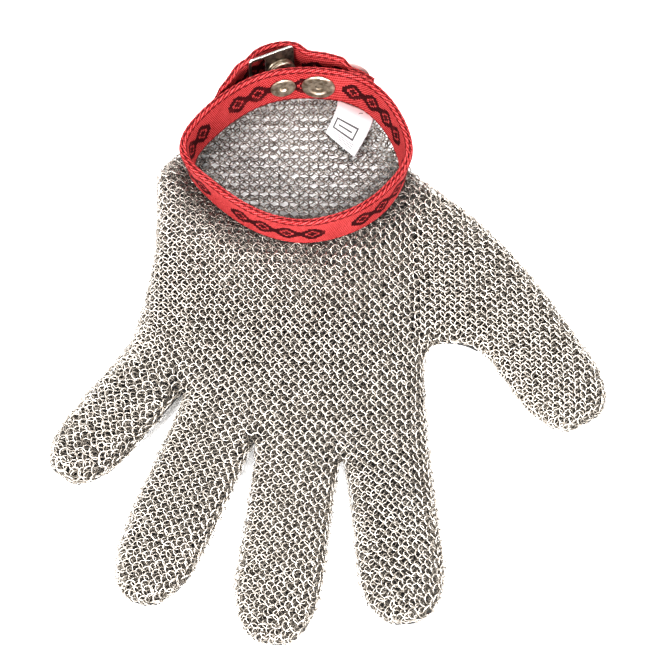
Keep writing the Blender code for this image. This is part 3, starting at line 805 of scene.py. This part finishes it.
def woven(name, frames, width, thickness, closed, settings):
    """A strap through frames of (centre, outwards, up, share of the thickness, share of the width).

    Its UV map holds millimetres: along the strap, and round it from the middle of the outer face.
    """
    half = webbing_section(width, thickness)
    section = [*half, *((x, -y) for x, y in reversed(half[1:-1])), half[0]]
    round_it = distances(section)
    whole = round_it[-1]
    pitch = settings.edge_pitch / MM
    if closed:
        frames = [*frames, frames[0]]
    run = distances([centre for centre, *_ in frames])
    if closed:
        pitch = run[-1] / round(run[-1] / pitch)
    steps, around = len(frames) - 1, len(section) - 1
    bm = bmesh.new()
    layer = bm.loops.layers.uv.new("weave")
    bmesh.ops.create_grid(bm, x_segments=steps, y_segments=around, size=1.0)
    where = {}
    for vert in bm.verts:
        i, j = round((vert.co.x + 1) / 2 * steps), round((vert.co.y + 1) / 2 * around)
        where[vert] = (run[i], round_it[j])
        centre, face, up, thinner, narrower = frames[i]
        x, y = section[j][0] * thinner, section[j][1] * narrower
        q = min(round_it[j], whole - round_it[j])
        off_rim = whole / 4 - min(q, whole / 2 - q)
        on_edge = min(max((EDGE_BAND[0] - off_rim) / (EDGE_BAND[0] - EDGE_BAND[1]), 0.0), 1.0)
        ply = abs(math.sin(math.pi * off_rim / EDGE_PLY)) ** PLY_SQUARE
        twist = abs(math.sin(math.pi * (run[i] + EDGE_SLANT * round_it[j]) / pitch)) ** TWIST_SQUARE
        push = settings.edge_height / MM * (ply * (1 - TWIST_SHARE * (1 - twist)) - 0.5) * on_edge
        outward = Vector((x, y - math.copysign(min(abs(y), width / 2 - thickness / 2), y)))
        outward = outward.normalized() if outward.length else Vector((1, 0))
        vert.co = (centre + face * (x + push * outward.x) + up * (y + push * outward.y)) * MM
    mapped(bm, layer, where)
    bmesh.ops.remove_doubles(bm, verts=bm.verts, dist=1e-6)
    if not closed:
        bmesh.ops.holes_fill(bm, edges=[e for e in bm.edges if e.is_boundary], sides=0)
    bmesh.ops.recalc_face_normals(bm, faces=bm.faces)
    return new_object(name, bm, webbing(f"{name}_weave", whole, pitch, settings))


def webbing(name, whole, pitch, settings):
    """Red webbing: a twilled face with a dark woven band of lozenges, and twisted cord edges; painted light
    and shade on the face's ribs and hollows, and painted shade in the edges' grooves.
    """
    finish = Finish(name, Specular_IOR_Level=0.12)
    along, around = finish.uv("weave")
    q = around.least(whole - around)
    height = q.least(whole / 2 - q)
    off_rim = whole / 4 - height
    edge = 1 - off_rim.smooth(EDGE_BAND[1], EDGE_BAND[0])
    ribs = (around * 0.92 + along * 0.38).wave(settings.twill_pitch / MM)
    yarns = (along - around * 0.3).wave(settings.rib_pitch / MM)
    fibre = finish.noise(900.0, 4.0)
    cloth = (ribs * 0.42 + yarns * 0.22 + fibre * 0.36) * 0.8 + finish.noise(70.0) * 0.2
    # painted light and shade: ribs and yarns lighter, hollows darker, over the fibres' own uneven tone; the
    # pink of the light red is a painted highlight
    colour = cloth.smooth(0.26, 0.74).mix(settings.red_dark, settings.red_light)
    twist = (along + around * EDGE_SLANT).to_and_fro(pitch / 2) / (pitch / 2)
    ply = off_rim.to_and_fro(EDGE_PLY / 2) / (EDGE_PLY / 2)
    seam = (1 - ply.smooth(0.22, 0.62)) * (0.25 + twist.smooth(0.15, 0.4) * 0.75)
    # painted shade in the grooves between the edges' two cords and between their twists
    groove_shade = seam.most((1 - twist.smooth(0.0, 0.3)) * 0.55) * edge
    # each pick and yarn of the woven band is one small square
    row = math.floor(height / (settings.motif_yarn / MM))
    group = math.floor(along / (settings.motif_pick / MM)) % GROUP
    diamond = abs(group % LOZENGE - LOZENGE_MIDDLE) + row
    lozenge = diamond.near(*LOZENGE_LINE).most(diamond < LOZENGE_HEART)
    written = lozenge * (group < GROUP_WRITTEN) * (row < LOZENGE_ROWS)
    worn = finish.noise(260.0, 3.0).smooth(0.28, 0.5)
    band = written * (0.80 + worn * 0.20) * (0.88 + ribs * 0.12)
    colour = (groove_shade * 0.85).mix(band.mix(colour, settings.motif), settings.groove)
    relief = finish.relief(ribs * 0.5 + yarns * 0.3 + fibre * 0.5 - band * 0.25, 0.0004, 0.55)
    return finish.feed(Base_Color=colour, Roughness=0.62 + fibre * 0.25, Normal=relief)


def eased(value, low, high):
    """0 below low, 1 above high and smooth between them."""
    share = min(max((value - low) / (high - low), 0.0), 1.0)
    return share * share * (3 - 2 * share)


def tail_shares(x):
    """Shares of the tail's thickness and width: thin where it is sewn on, and narrow at both ends."""
    thinner = THIN_END + (1 - THIN_END) * eased(x, *THIN_RUN)
    narrower = 1 - (1 - CUT_END) * eased(x, *CUT_RUN) - (1 - SEWN_END) * (1 - eased(x, *SEWN_RUN))
    return thinner, narrower


def tail_frames():
    """The tail's frames follow its own curve, so its thickness stays the same through the bends."""
    centres = smooth_through([on_strap(x, stand_off)[0] for x, stand_off in TAIL], TAIL_STEPS)
    frames = []
    for k, centre in enumerate(centres):
        way = centres[min(k + 1, len(centres) - 1)] - centres[max(k - 1, 0)]
        _, _, face, up = on_strap(min(max(centre.x, TAIL[0][0]), TAIL[-1][0]))
        across = (way - up * way.dot(up)).normalized().cross(up).normalized()
        if across.dot(face) < TURNED_BACK:
            across.negate()
        thinner, narrower = tail_shares(centre.x)
        centre = centre - across * ((1 - thinner) * TAIL_THICKNESS / 2) + up * TAIL_RAISE
        frames.append((centre, across, up, thinner, narrower))
    return frames


def strap(settings):
    loop = []
    for k in range(LOOP_STEPS):
        foot, _, face, up = strap_frame(k / LOOP_STEPS)
        loop.append((foot + up * STRAP_MIDDLE, face, up, 1.0, 1.0))
    for name, frames, thickness, closed, node in (
            ("wrist_strap", loop, STRAP_THICKNESS, True, "strap_loop"),
            ("strap_tail_webbing", tail_frames(), TAIL_THICKNESS, False, "strap_tail")):
        dressed(woven(name, frames, STRAP_WIDTH, thickness, closed, settings), "red_webbing", node)
    sewing(settings)


def sewing(settings):
    """Rows of stitches that hold the end of the tail on the strap."""
    finish = Finish("thread")
    twist = finish.noise(1800.0)
    finish.feed(Base_Color=twist.mix(settings.groove, settings.red_dark), Roughness=0.6 + twist * 0.2)
    bm = bmesh.new()
    first, last = SEWN_X
    side = STRAP_WIDTH / 2 - SEWN_IN
    lines = (((first, -side), (first, side)), ((last, -side), (last, side)),
             ((first, -side), (last, -side)), ((first, side), (last, side)))
    for start, end in lines:
        start, end = Vector(start), Vector(end)
        count = max(2, round((end - start).length / (settings.stitch_pitch / MM)))
        for k in range(count):
            ends = []
            for share in STITCH_ENDS:
                x, height = start.lerp(end, (k + share) / count)
                thinner, narrower = tail_shares(x)
                outer = TAIL[0][1] + TAIL_THICKNESS * (thinner - 0.5)
                centre, _, face, up = on_strap(x, outer)
                ends.append(centre + up * (TAIL_RAISE + height * narrower))
            stitch(bm, *ends, face, settings.thread / 2)
    bmesh.ops.recalc_face_normals(bm, faces=bm.faces)
    dressed(new_object("tail_stitches", bm, finish.material), "red_webbing")


def stitch(bm, start, end, face, radius):
    """One stitch: a short thread that dives into the webbing at both its ends."""
    made = bmesh.ops.create_uvsphere(bm, u_segments=8, v_segments=6, radius=1.0)["verts"]
    along = (end - start).normalized()
    placement = placed((start + end) / 2, along.cross(face).normalized(), face, along)
    size = Matrix.Diagonal((radius, radius, (end - start).length / 2 * MM, 1))
    bmesh.ops.transform(bm, verts=made, matrix=placement @ size)


# ---- the metal parts
METALS = {  # its colours' name in the settings, and its roughness
    "plated_metal": ("plate", 0.16),
    # the clasp plate's side towards the wrist: painted shade, with rubbed patches
    "shaded_side_metal": ("dull", 0.34),
    "stud_metal": ("stud", 0.26),
    "cap_metal": ("cap", 0.55),
}
TURNED_SIDES, PLATE_SIDES = 64, 96
CORNER_STEPS, CORNER_REACH = 4, 0.45  # points round a corner, and the most of a side that it takes
PLATE_HEIGHT, PLATE_THICKNESS, PLATE_CORNER = 20.2, 1.0, 2.0
SLOT_CENTRE, SLOT_WIDTH, SLOT_HEIGHT, SLOT_CORNER = 4.2, 6.0, 17.4, 1.4
RIM_ANGLE = math.radians(60)  # edges that are sharper than this are rounded
SHADED_SIDE = -0.9  # of the face normal on the plate's side towards the wrist, which gets painted shade
STUD_X, RIVET_X = -3.5, 11.6
STUD_HEAD = 4.9  # of the socket off the strap
CAP_PLACE = (26.2, 4.7, 2.0)  # of the tail's cap: x, off the strap, and over the strap's middle
STUD_POST = (  # turned parts: (radius, distance outwards from the strap's outer face)
    (0.0, -3.4), (1.1, -3.45), (1.5, -4.2), (4.3, -4.15), (5.15, -3.75), (5.15, -3.4), (2.3, -3.4),
    (2.3, 0.4), (4.2, 0.4), (4.2, 0.9), (2.3, 1.2), (2.3, 3.9), (2.8, 4.5), (2.8, 5.3), (2.1, 5.8),
    (0.0, 5.8),
)
STUD_SOCKET = (
    (0.0, 1.4), (4.0, 1.4), (4.0, -1.5), (5.3, -1.5), (6.0, -1.1), (6.0, -0.3), (4.9, 0.0), (4.9, 0.8),
    (5.8, 1.1), (5.8, 2.1), (0.0, 2.1),
)
STRAP_RIVET = (
    (0.0, -3.35), (1.3, -3.4), (1.7, -3.7), (3.5, -3.75), (4.3, -4.4), (5.9, -4.4), (6.75, -3.9),
    (6.75, -3.5), (3.1, -3.4), (3.1, 0.3), (5.2, 0.3), (5.2, 0.9), (0.0, 0.9),
)
TAIL_RIVET = (
    (0.0, -3.2), (1.8, -3.2), (1.8, 0.1), (6.1, 0.1), (6.1, 1.9), (5.1, 2.9), (2.8, 3.4), (0.0, 3.5),
)


def rounded(outline, radius):
    """(radius, distance) pairs with each corner between two sides turned into a small curve."""
    points = [Vector(p) for p in outline]
    made = [points[0]]
    for before, corner, after in zip(points, points[1:], points[2:]):
        a, b = before - corner, after - corner
        reach = min(radius, a.length * CORNER_REACH, b.length * CORNER_REACH)
        start, end = corner + a.normalized() * reach, corner + b.normalized() * reach
        for t in (k / (CORNER_STEPS - 1) for k in range(CORNER_STEPS)):
            made.append(start * (1 - t) ** 2 + corner * (2 * t * (1 - t)) + end * t * t)
    return made + [points[-1]]


def turned(name, outline, placement, finish, settings):
    """A solid turned from (radius, distance) pairs that start and end on its axis."""
    bm = bmesh.new()
    path = rounded(outline, settings.corner / MM)
    profile = [bmesh.ops.create_vert(bm, co=(p.x * MM, 0, p.y * MM))["vert"][0] for p in path]
    for pair in zip(profile, profile[1:]):
        bmesh.ops.contextual_create(bm, geom=pair)
    spun(bm, TURNED_SIDES, 2e-6)
    bmesh.ops.transform(bm, verts=bm.verts, matrix=placement)
    return new_object(name, bm, finish)


def rounded_box_edge(width, height, corner, away, angle):
    """Where a ray from (away, 0) at an angle meets the edge of a rounded rectangle at the origin."""
    start, direction = Vector((away, 0)), Vector((math.cos(angle), math.sin(angle)))

    def inwards(run):
        x, y = start + direction * run
        off = Vector((abs(x) - width / 2 + corner, abs(y) - height / 2 + corner))
        return Vector((max(off.x, 0), max(off.y, 0))).length + min(max(*off), 0) < corner

    return start + direction * halved(0.0, width + height, inwards)


def clasp_plate(finish, dull, settings):
    """A flat plate with rounded corners and edges, and a slot at one end for the webbing.

    Its side towards the wrist is rougher, and darkened by painted shade.
    """
    middle, length, along, face, up = plate_frame()
    away = SLOT_CENTRE - length / 2
    bm = bmesh.new()
    for width, height, corner, shift in ((length, PLATE_HEIGHT, PLATE_CORNER, 0.0),
                                         (SLOT_WIDTH, SLOT_HEIGHT, SLOT_CORNER, away)):
        for n, vert in enumerate(bmesh.ops.create_circle(bm, segments=PLATE_SIDES, radius=1.0)["verts"]):
            angle = math.tau * (n + 0.5) / PLATE_SIDES
            edge = rounded_box_edge(width, height, corner, away - shift, angle)
            vert.co = Vector((edge.x + shift, -PLATE_THICKNESS / 2, edge.y)) * MM
    bmesh.ops.bridge_loops(bm, edges=bm.edges[:])
    made = bmesh.ops.extrude_face_region(bm, geom=bm.faces[:])["geom"]
    raised = [g for g in made if isinstance(g, bmesh.types.BMVert)]
    bmesh.ops.translate(bm, verts=raised, vec=(0, PLATE_THICKNESS * MM, 0))
    bmesh.ops.recalc_face_normals(bm, faces=bm.faces)
    rims = [e for e in bm.edges if len(e.link_faces) == 2 and e.calc_face_angle() > RIM_ANGLE]
    bmesh.ops.bevel(bm, geom=rims, offset=settings.plate_bevel, offset_type="OFFSET", segments=3,
                    profile=0.5, affect="EDGES", material=-1)
    bmesh.ops.recalc_face_normals(bm, faces=bm.faces)
    for f in bm.faces:
        # painted shade: the faces towards the wrist take the darker metal
        f.material_index = 1 if f.normal.y < SHADED_SIDE else 0
    bmesh.ops.transform(bm, verts=bm.verts, matrix=placed(middle, along, face, up))
    return new_object("clasp_slot_plate", bm, finish, dull)


def plated(name, settings):
    """Pressed and plated metal: brushed marks, and dull brownish patches where it is rubbed."""
    finish = Finish(name, Metallic=1.0)
    tone, rough = METALS[name]
    patch = finish.noise(420.0, 4.0).smooth(0.32, 0.68)
    fine = finish.noise(2600.0, 3.0)
    colour = (patch * 0.75 + fine * 0.25).mix(getattr(settings, f"{tone}_dark"),
                                              getattr(settings, f"{tone}_light"))
    scratch = finish.relief(fine * 0.6 + patch * 0.4, 0.00006, 0.5)
    return finish.feed(Base_Color=colour, Roughness=rough + (1 - patch) * 0.2 + fine * 0.08,
                       Normal=scratch)


def clasp(settings):
    plating, dull, warm, satin_metal = (plated(name, settings) for name in METALS)
    dressed(clasp_plate(plating, dull, settings), "clasp_metal", "clasp_plate")
    for name, outline, placement, finish, slot, node in (
            ("press_stud_post", STUD_POST, facing(STUD_X), warm, "stud_metal", "stud_post"),
            ("press_stud_socket", STUD_SOCKET, on_plate(STUD_X, STUD_HEAD), warm, "stud_metal",
             "stud_socket"),
            ("strap_rivet_washer", STRAP_RIVET, facing(RIVET_X), warm, "stud_metal", "strap_rivet"),
            ("tail_rivet_cap", TAIL_RIVET, facing(*CAP_PLACE), satin_metal, "clasp_metal", "tail_rivet")):
        dressed(turned(name, outline, placement, finish, settings), slot, node)


# ---- the label
LABEL_STEPS = 8
LABEL_INSET = (0.02, 0.96)  # where its left side is, and its width, as shares of the table's
CURL_FROM = (0.55, 0.5)  # of its free corner: shares of its width and of its length
LABEL_ROWS = (  # from its sewn edge to its free edge: (left x, y, right x, y)
    (19.2, 104.2, 34.9, 97.4), (17.9, 99.6, 32.6, 91.6), (16.0, 95.0, 29.4, 85.2), (14.0, 90.6, 26.1, 79.0),
)
OVER_LABEL, IN_LABEL = 0.04, 0.006  # heights to look for the label's solid from
MARK_MIDDLE, MARK_HALF, MARK_LINE = (0.42, 0.60), (0.30, 0.13), 0.020  # the mark's outline
BAR_HALF = (0.20, 0.018)  # of the bar in it
LINES_FROM, LINES_TO, LINE_PITCH, LINE_GAP = (0.10, 0.79), (0.82, 0.95), 0.022, 0.0155


def label(settings):
    """A small satin tag that lies on the inside of the mail, sewn in under the strap."""
    bm = bmesh.new()
    bm.from_mesh(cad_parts["label"].data)
    solid = BVHTree.FromBMesh(bm)
    bm.free()
    left, right = (smooth_through([Vector(row[k:k + 2]) for row in LABEL_ROWS], LABEL_STEPS)
                   for k in (0, 2))
    rows = len(left) - 1
    bm = bmesh.new()
    layer = bm.loops.layers.uv.new("print")
    bmesh.ops.create_grid(bm, x_segments=rows, y_segments=rows, size=1.0)
    where = {}
    for vert in bm.verts:
        u, v = where[vert] = (vert.co.x + 1) / 2, (vert.co.y + 1) / 2
        k = round(v * rows)
        x, y = left[k].lerp(right[k], LABEL_INSET[0] + LABEL_INSET[1] * u) * MM
        hit = (solid.ray_cast((x, y, OVER_LABEL), (0, 0, -1))[0]
               or solid.find_nearest((x, y, IN_LABEL))[0])
        curl = settings.label_curl * max(u - CURL_FROM[0], 0) * max(v - CURL_FROM[1], 0) * 4
        vert.co = (x, y, hit.z - settings.label_thickness / 2 + curl)
    mapped(bm, layer, where)
    bmesh.ops.smooth_vert(bm, verts=bm.verts, factor=0.5, use_axis_z=True)
    tag = new_object("size_label", bm, satin(settings))
    wall = tag.modifiers.new("thickness", "SOLIDIFY")
    wall.thickness = settings.label_thickness
    wall.offset = 0.0
    dressed(tag, "label_satin", "label")


def satin(settings):
    """White satin with fine yarns, a plain outlined mark and a few grey lines."""
    finish = Finish("label_satin", Sheen_Weight=0.3)
    u, v = finish.uv("print")
    yarn = v.wave(0.016)
    soft = finish.noise(500.0, 3.0)
    wide, tall = abs(u - MARK_MIDDLE[0]), abs(v - MARK_MIDDLE[1])
    mark = (wide - MARK_HALF[0]).most(tall - MARK_HALF[1]).near(0.0, MARK_LINE)
    bar = (tall < BAR_HALF[1]) * (wide < BAR_HALF[0])
    lines = (v.to_and_fro(LINE_PITCH) > LINE_GAP) * (v > LINES_FROM[1]) * (v < LINES_TO[1])
    lines = lines * (u > LINES_FROM[0]) * (u < LINES_TO[0])
    ink = (mark.most(bar) * 0.97).most(lines * 0.75) * (0.9 + soft * 0.1)
    near_strap = 1 - v.smooth(0.0, 0.45)
    cloth = (near_strap * 0.5).mix(settings.label_white, settings.label_tint)
    relief = finish.relief(yarn * 0.6 + soft * 0.4, 0.00008, 0.4)
    return finish.feed(Base_Color=ink.mix(cloth, settings.label_ink),
                       Roughness=0.42 + yarn * 0.1 + soft * 0.1, Normal=relief)


# ---- the stage
FOCUS = (0.0132, 0.0044, 0.0)  # what the camera looks at
FLOOR_SIZE, SENSOR_WIDTH = 4.0, 36.0
SHADE_NORMAL, SHADE_HEIGHT = -0.75, 0.00003  # faces that lie on the floor, and the shade over it
SHADE_CLEAR = (3.0, 83.0, 42.0, 31.0)  # plan middle and half sizes of where the mouth lets light in
MOUTH_LIGHT_ELEVATION, MOUTH_LIGHT_BLEND, MOUTH_LIGHT_RADIUS = 72, 0.7, 0.03
LIGHTS = (  # name, azimuth, elevation, share of the full power
    ("left_light", -55, 40, 1.0),
    ("right_light", 60, 34, 0.67),
    ("overhead_light", 180, 62, 0.45),
    ("back_right_light", 150, 30, 0.33),
    ("back_left_light", 215, 30, 0.33),
    ("front_light", 5, 30, 0.75),
)


def direction(azimuth, elevation):
    """The way out from the glove at two angles in degrees: an azimuth of 0 is to the front."""
    a, e = math.radians(azimuth), math.radians(elevation)
    return Vector((math.sin(a) * math.cos(e), -math.cos(a) * math.cos(e), math.sin(e)))


def aimed(obj, place, way):
    obj.location = place
    obj.rotation_mode = "QUATERNION"
    obj.rotation_quaternion = way.to_track_quat("-Z", "Y")
    return obj


def contact_shade(settings):
    """Keeps the lamps off the floor under the hand, where two layers of links lie on it.

    The sheet can't be seen: it only casts a shadow on the floor that it lies on.
    """
    skin = hand_skin()
    bm = bmesh.new()
    bm.from_mesh(skin)
    bpy.data.meshes.remove(skin)
    bm.normal_update()
    off = [f for f in bm.faces if f.normal.z > SHADE_NORMAL]
    bmesh.ops.delete(bm, geom=off, context="FACES")
    for vert in bm.verts:
        vert.co.z = SHADE_HEIGHT
    finish = Finish("contact_shade", Base_Color=(0.02, 0.017, 0.015), Roughness=1.0)
    x, y, half_x, half_y = (MM * size for size in SHADE_CLEAR)
    away = finish.node("ShaderNodeMapping", Vector=finish.place(), Location=(-x / half_x, -y / half_y, 0),
                       Scale=(1 / half_x, 1 / half_y, 0))
    away = away.node("ShaderNodeVectorMath", 1, {"operation": "LENGTH"}, i0=away)
    shaded = finish.node("ShaderNodeMixShader", i0=away.smooth(0.7, 1.05) * settings.shade_density,
                         i1=finish.node("ShaderNodeBsdfTransparent"), i2=finish)
    feed(finish.material.node_tree.nodes["Material Output"], {"Surface": shaded})
    shade = new_object("contact_shade", bm, finish.material)
    shade.visible_camera = False


def lights(scene, settings):
    world = bpy.data.worlds.new("studio")
    world.use_nodes = True
    feed(world.node_tree.nodes["Background"], {"Strength": settings.surround, "Color": (1, 1, 1)})
    scene.world = world
    for name, azimuth, elevation, power in LIGHTS:
        data = bpy.data.lights.new(name, "AREA")
        data.shape = "DISK"
        data.size = settings.light_size
        data.energy = power * settings.light_power
        away = direction(azimuth, elevation) * settings.light_distance
        aimed(linked(name, data), away, -away)
    snooted = bpy.data.lights.new("mouth_light", "SPOT")
    snooted.energy = settings.mouth_power
    snooted.spot_size = settings.mouth_beam
    snooted.spot_blend = MOUTH_LIGHT_BLEND
    snooted.shadow_soft_size = MOUTH_LIGHT_RADIUS
    away = direction(0, MOUTH_LIGHT_ELEVATION) * settings.mouth_distance
    aimed(linked("mouth_light", snooted), Vector((*SHADE_CLEAR[:2], 0)) * MM + away, -away)


def stage(scene, settings):
    contact_shade(settings)
    bm = bmesh.new()
    bmesh.ops.create_grid(bm, x_segments=1, y_segments=1, size=FLOOR_SIZE)
    finish = Finish("pale_floor", Base_Color=settings.floor, Roughness=0.9)
    new_object("floor", bm, finish.material)
    lights(scene, settings)
    data = bpy.data.cameras.new("camera")
    data.lens = settings.camera_lens
    data.sensor_width = SENSOR_WIDTH
    distance = settings.view_height * data.lens / SENSOR_WIDTH
    data.clip_end = distance * 20
    back = direction(0, math.degrees(settings.camera_elevation))
    scene.camera = aimed(linked("camera", data), Vector(FOCUS) + back * distance, -back)
    scene.view_settings.view_transform = "Standard"
    scene.view_settings.look = "High Contrast"


# ---- add-on
def property_of(kind, **fixed):
    """A short way to write one kind of property: its name, its description and its default."""
    return lambda name, description, default: kind(name=name, description=description, default=default,
                                                   **fixed)


number, count = property_of(FloatProperty), property_of(IntProperty)
length, share = property_of(FloatProperty, unit="LENGTH"), property_of(FloatProperty, subtype="FACTOR")
angle = property_of(FloatProperty, subtype="ANGLE")
colour = property_of(FloatVectorProperty, subtype="COLOR")


class GloveMailSettings(bpy.types.PropertyGroup):
    """Sizes and colours of the links."""

    link_diameter: length("Link diameter", "Across the outside of a link", 0.0049)
    wire: length("Wire", "Thickness of the links' wire", 0.00057)
    pitch: length("Link pitch", "Between neighbours in a row", 0.0040)
    row_pitch: length("Row pitch", "Between neighbouring rows", 0.00212)
    thumb_row_pitch: length("Thumb row pitch", "Between rows on the thumb", 0.00175)
    lean: angle("Lean", "How far the rows lean to and fro", math.radians(12))
    thumb_lean: angle("Thumb lean", "The same on the thumb", math.radians(18))
    open_lean: angle("Open lean", "The same inside the mouth", math.radians(18))
    lap: angle("Lap", "How far a link tips sideways, over the next in its row", math.radians(20))
    open_lap: share("Open lap", "Share of the lap that is left inside the mouth", 0.45)
    unevenness: number("Unevenness", "How much the links stray", 1.0)
    seed: count("Seed", "Of the links' unevenness", 7)
    steel_dark: colour("Dark steel", "Colour of the dullest links", (0.44, 0.405, 0.365))
    # the colour of the painted shade on the links' inner sides
    steel_painted_shade: colour("Dull steel", "Of the links' inner sides", (0.22, 0.20, 0.175))
    steel_light: colour("Light steel", "Colour of the brightest links", (0.92, 0.87, 0.81))
    # the colour and strength of the painted shade on the links inside the mouth
    steel_mouth_shade: colour("Handled steel", "Of the links inside the mouth", (0.11, 0.09, 0.08))
    mouth_shade: share("Handled", "How dull the links inside the mouth are", 0.68)
    roughness: share("Roughness", "Of the steel", 0.30)


class GloveStrapSettings(bpy.types.PropertyGroup):
    """Sizes and colours of the webbing."""

    edge_pitch: length("Edge pitch", "Between the twists of the edges", 0.0033)
    edge_height: length("Edge height", "Of the twists of the edges", 0.00030)
    twill_pitch: length("Twill pitch", "Between the slanting lines of the faces", 0.00105)
    rib_pitch: length("Rib pitch", "Between the cross ribs of the faces", 0.0008)
    motif_pick: length("Motif pick", "One step of the woven band, lengthwise", 0.0011)
    motif_yarn: length("Motif yarn", "One step of the woven band, crosswise", 0.00092)
    stitch_pitch: length("Stitch pitch", "Between two stitches", 0.0022)
    thread: length("Thread", "Thickness of the sewing thread", 0.0006)
    # the weave's colours: the dark red is painted shade in its hollows and also the thread's colour, the
    # light red a painted highlight on its ribs
    red_dark: colour("Dark red", "Of the webbing's hollows", (0.15, 0.002, 0.003))
    red_light: colour("Light red", "Of the webbing's ribs", (0.58, 0.105, 0.107))
    motif: colour("Motif", "Of the woven band", (0.030, 0.004, 0.006))
    # the colour of the painted shade in the edges' grooves, and the thread's dark colour
    groove: colour("Groove", "Between the twists of the edges", (0.045, 0.003, 0.005))


class GloveClaspSettings(bpy.types.PropertyGroup):
    """Sizes and colours of the metal parts."""

    corner: length("Corner", "Rounding of the turned parts", 0.00028)
    plate_bevel: length("Plate bevel", "Rounding of the plate's edges", 0.00018)
    plate_dark: colour("Dark plating", "Of the plate's rubbed patches", (0.52, 0.49, 0.44))
    plate_light: colour("Light plating", "Of its clean plating", (0.86, 0.84, 0.80))
    # the colours of the painted shade on the plate's side towards the wrist, with rubbed patches
    dull_dark: colour("Dark inner side", "Of the plate's worn inner side", (0.07, 0.06, 0.05))
    dull_light: colour("Light inner side", "Of its less worn patches", (0.30, 0.26, 0.22))
    stud_dark: colour("Dark stud", "Of the studs' dull patches", (0.22, 0.17, 0.12))
    stud_light: colour("Light stud", "Of the studs' clean metal", (0.78, 0.71, 0.60))
    cap_dark: colour("Dark cap", "Of the cap's dull patches", (0.80, 0.77, 0.74))
    cap_light: colour("Light cap", "Of the cap's clean metal", (0.95, 0.94, 0.92))


class GloveLabelSettings(bpy.types.PropertyGroup):
    """Sizes and colours of the label."""

    label_width: length("Width", "As cut", 0.0165)
    label_length: length("Length", "As cut", 0.0170)
    label_thickness: length("Thickness", "Of the satin", 0.00025)
    label_curl: length("Curl", "How far its free corner lifts", 0.0006)
    label_white: colour("White", "Of the satin", (0.55, 0.55, 0.56))
    label_tint: colour("Tint", "Where the strap's colour has run", (0.62, 0.30, 0.30))
    label_ink: colour("Ink", "Of the plain marks", (0.012, 0.012, 0.014))


class GloveStageSettings(bpy.types.PropertyGroup):
    """Floor, lights and camera."""

    floor: colour("Floor", "Colour of the floor", (0.90, 0.90, 0.90))
    surround: number("Surround", "Strength of the light from all round", 0.14)
    shade_density: share("Shade density", "Of the shade on the floor under the hand", 0.90)
    light_power: number("Light power", "Of a full light, in watts", 9.4)
    light_size: length("Light size", "Across a light", 0.42)
    light_distance: length("Light distance", "From the glove to the lights", 0.95)
    mouth_power: number("Mouth light", "Of the narrow light into the mouth, in watts", 4.6)
    mouth_beam: angle("Mouth beam", "Spread of that light", math.radians(7.5))
    mouth_distance: length("Mouth distance", "From that light to the mail", 0.6)
    camera_elevation: angle("Elevation", "Of the camera", math.radians(65))
    camera_lens: number("Lens", "Focal length in millimetres", 1500.0)
    view_height: length("View height", "Seen height at the target", 0.264)


class OBJECT_OT_glove_mail(bpy.types.Operator):
    """Lays the links over the hand, the fingers and the thumb"""

    bl_idname = "object.glove_mail"
    bl_label = "Lay the Links"

    def execute(self, context):
        mail(context.scene.glove_mail)
        return {"FINISHED"}


class OBJECT_OT_glove_strap(bpy.types.Operator):
    """Weaves the wrist strap and its tail, and sews them together"""

    bl_idname = "object.glove_strap"
    bl_label = "Weave the Strap"

    def execute(self, context):
        strap(context.scene.glove_strap)
        return {"FINISHED"}


class OBJECT_OT_glove_clasp(bpy.types.Operator):
    """Makes the clasp plate, the press stud and the rivets"""

    bl_idname = "object.glove_clasp"
    bl_label = "Make the Clasp"

    def execute(self, context):
        clasp(context.scene.glove_clasp)
        return {"FINISHED"}


class OBJECT_OT_glove_label(bpy.types.Operator):
    """Sews in the label"""

    bl_idname = "object.glove_label"
    bl_label = "Sew in the Label"

    def execute(self, context):
        label(context.scene.glove_label)
        return {"FINISHED"}


class OBJECT_OT_glove_stage(bpy.types.Operator):
    """Sets up the floor, the lights and the camera"""

    bl_idname = "object.glove_stage"
    bl_label = "Set the Stage"

    def execute(self, context):
        stage(context.scene, context.scene.glove_stage)
        return {"FINISHED"}


class VIEW3D_PT_glove(bpy.types.Panel):
    """Lists the glove's steps"""

    bl_label = "Chainmail Glove"
    bl_idname = "VIEW3D_PT_glove"
    bl_space_type = "VIEW_3D"
    bl_region_type = "UI"
    bl_category = "Glove"

    def draw(self, context):
        for step in STEPS:
            self.layout.operator(step.bl_idname)


SETTINGS = {
    "glove_mail": GloveMailSettings,
    "glove_strap": GloveStrapSettings,
    "glove_clasp": GloveClaspSettings,
    "glove_label": GloveLabelSettings,
    "glove_stage": GloveStageSettings,
}
STEPS = (OBJECT_OT_glove_mail, OBJECT_OT_glove_strap, OBJECT_OT_glove_clasp, OBJECT_OT_glove_label,
         OBJECT_OT_glove_stage)
CLASSES = (*SETTINGS.values(), *STEPS, VIEW3D_PT_glove)


def register():
    for group in CLASSES:
        bpy.utils.register_class(group)
    for name, group in SETTINGS.items():
        setattr(bpy.types.Scene, name, PointerProperty(type=group))


def unregister():
    for name in SETTINGS:
        delattr(bpy.types.Scene, name)
    for group in reversed(CLASSES):
        bpy.utils.unregister_class(group)


def main():
    register()
    for step in SETTINGS:
        getattr(bpy.ops.object, step)()


if __name__ == "__main__":
    main()
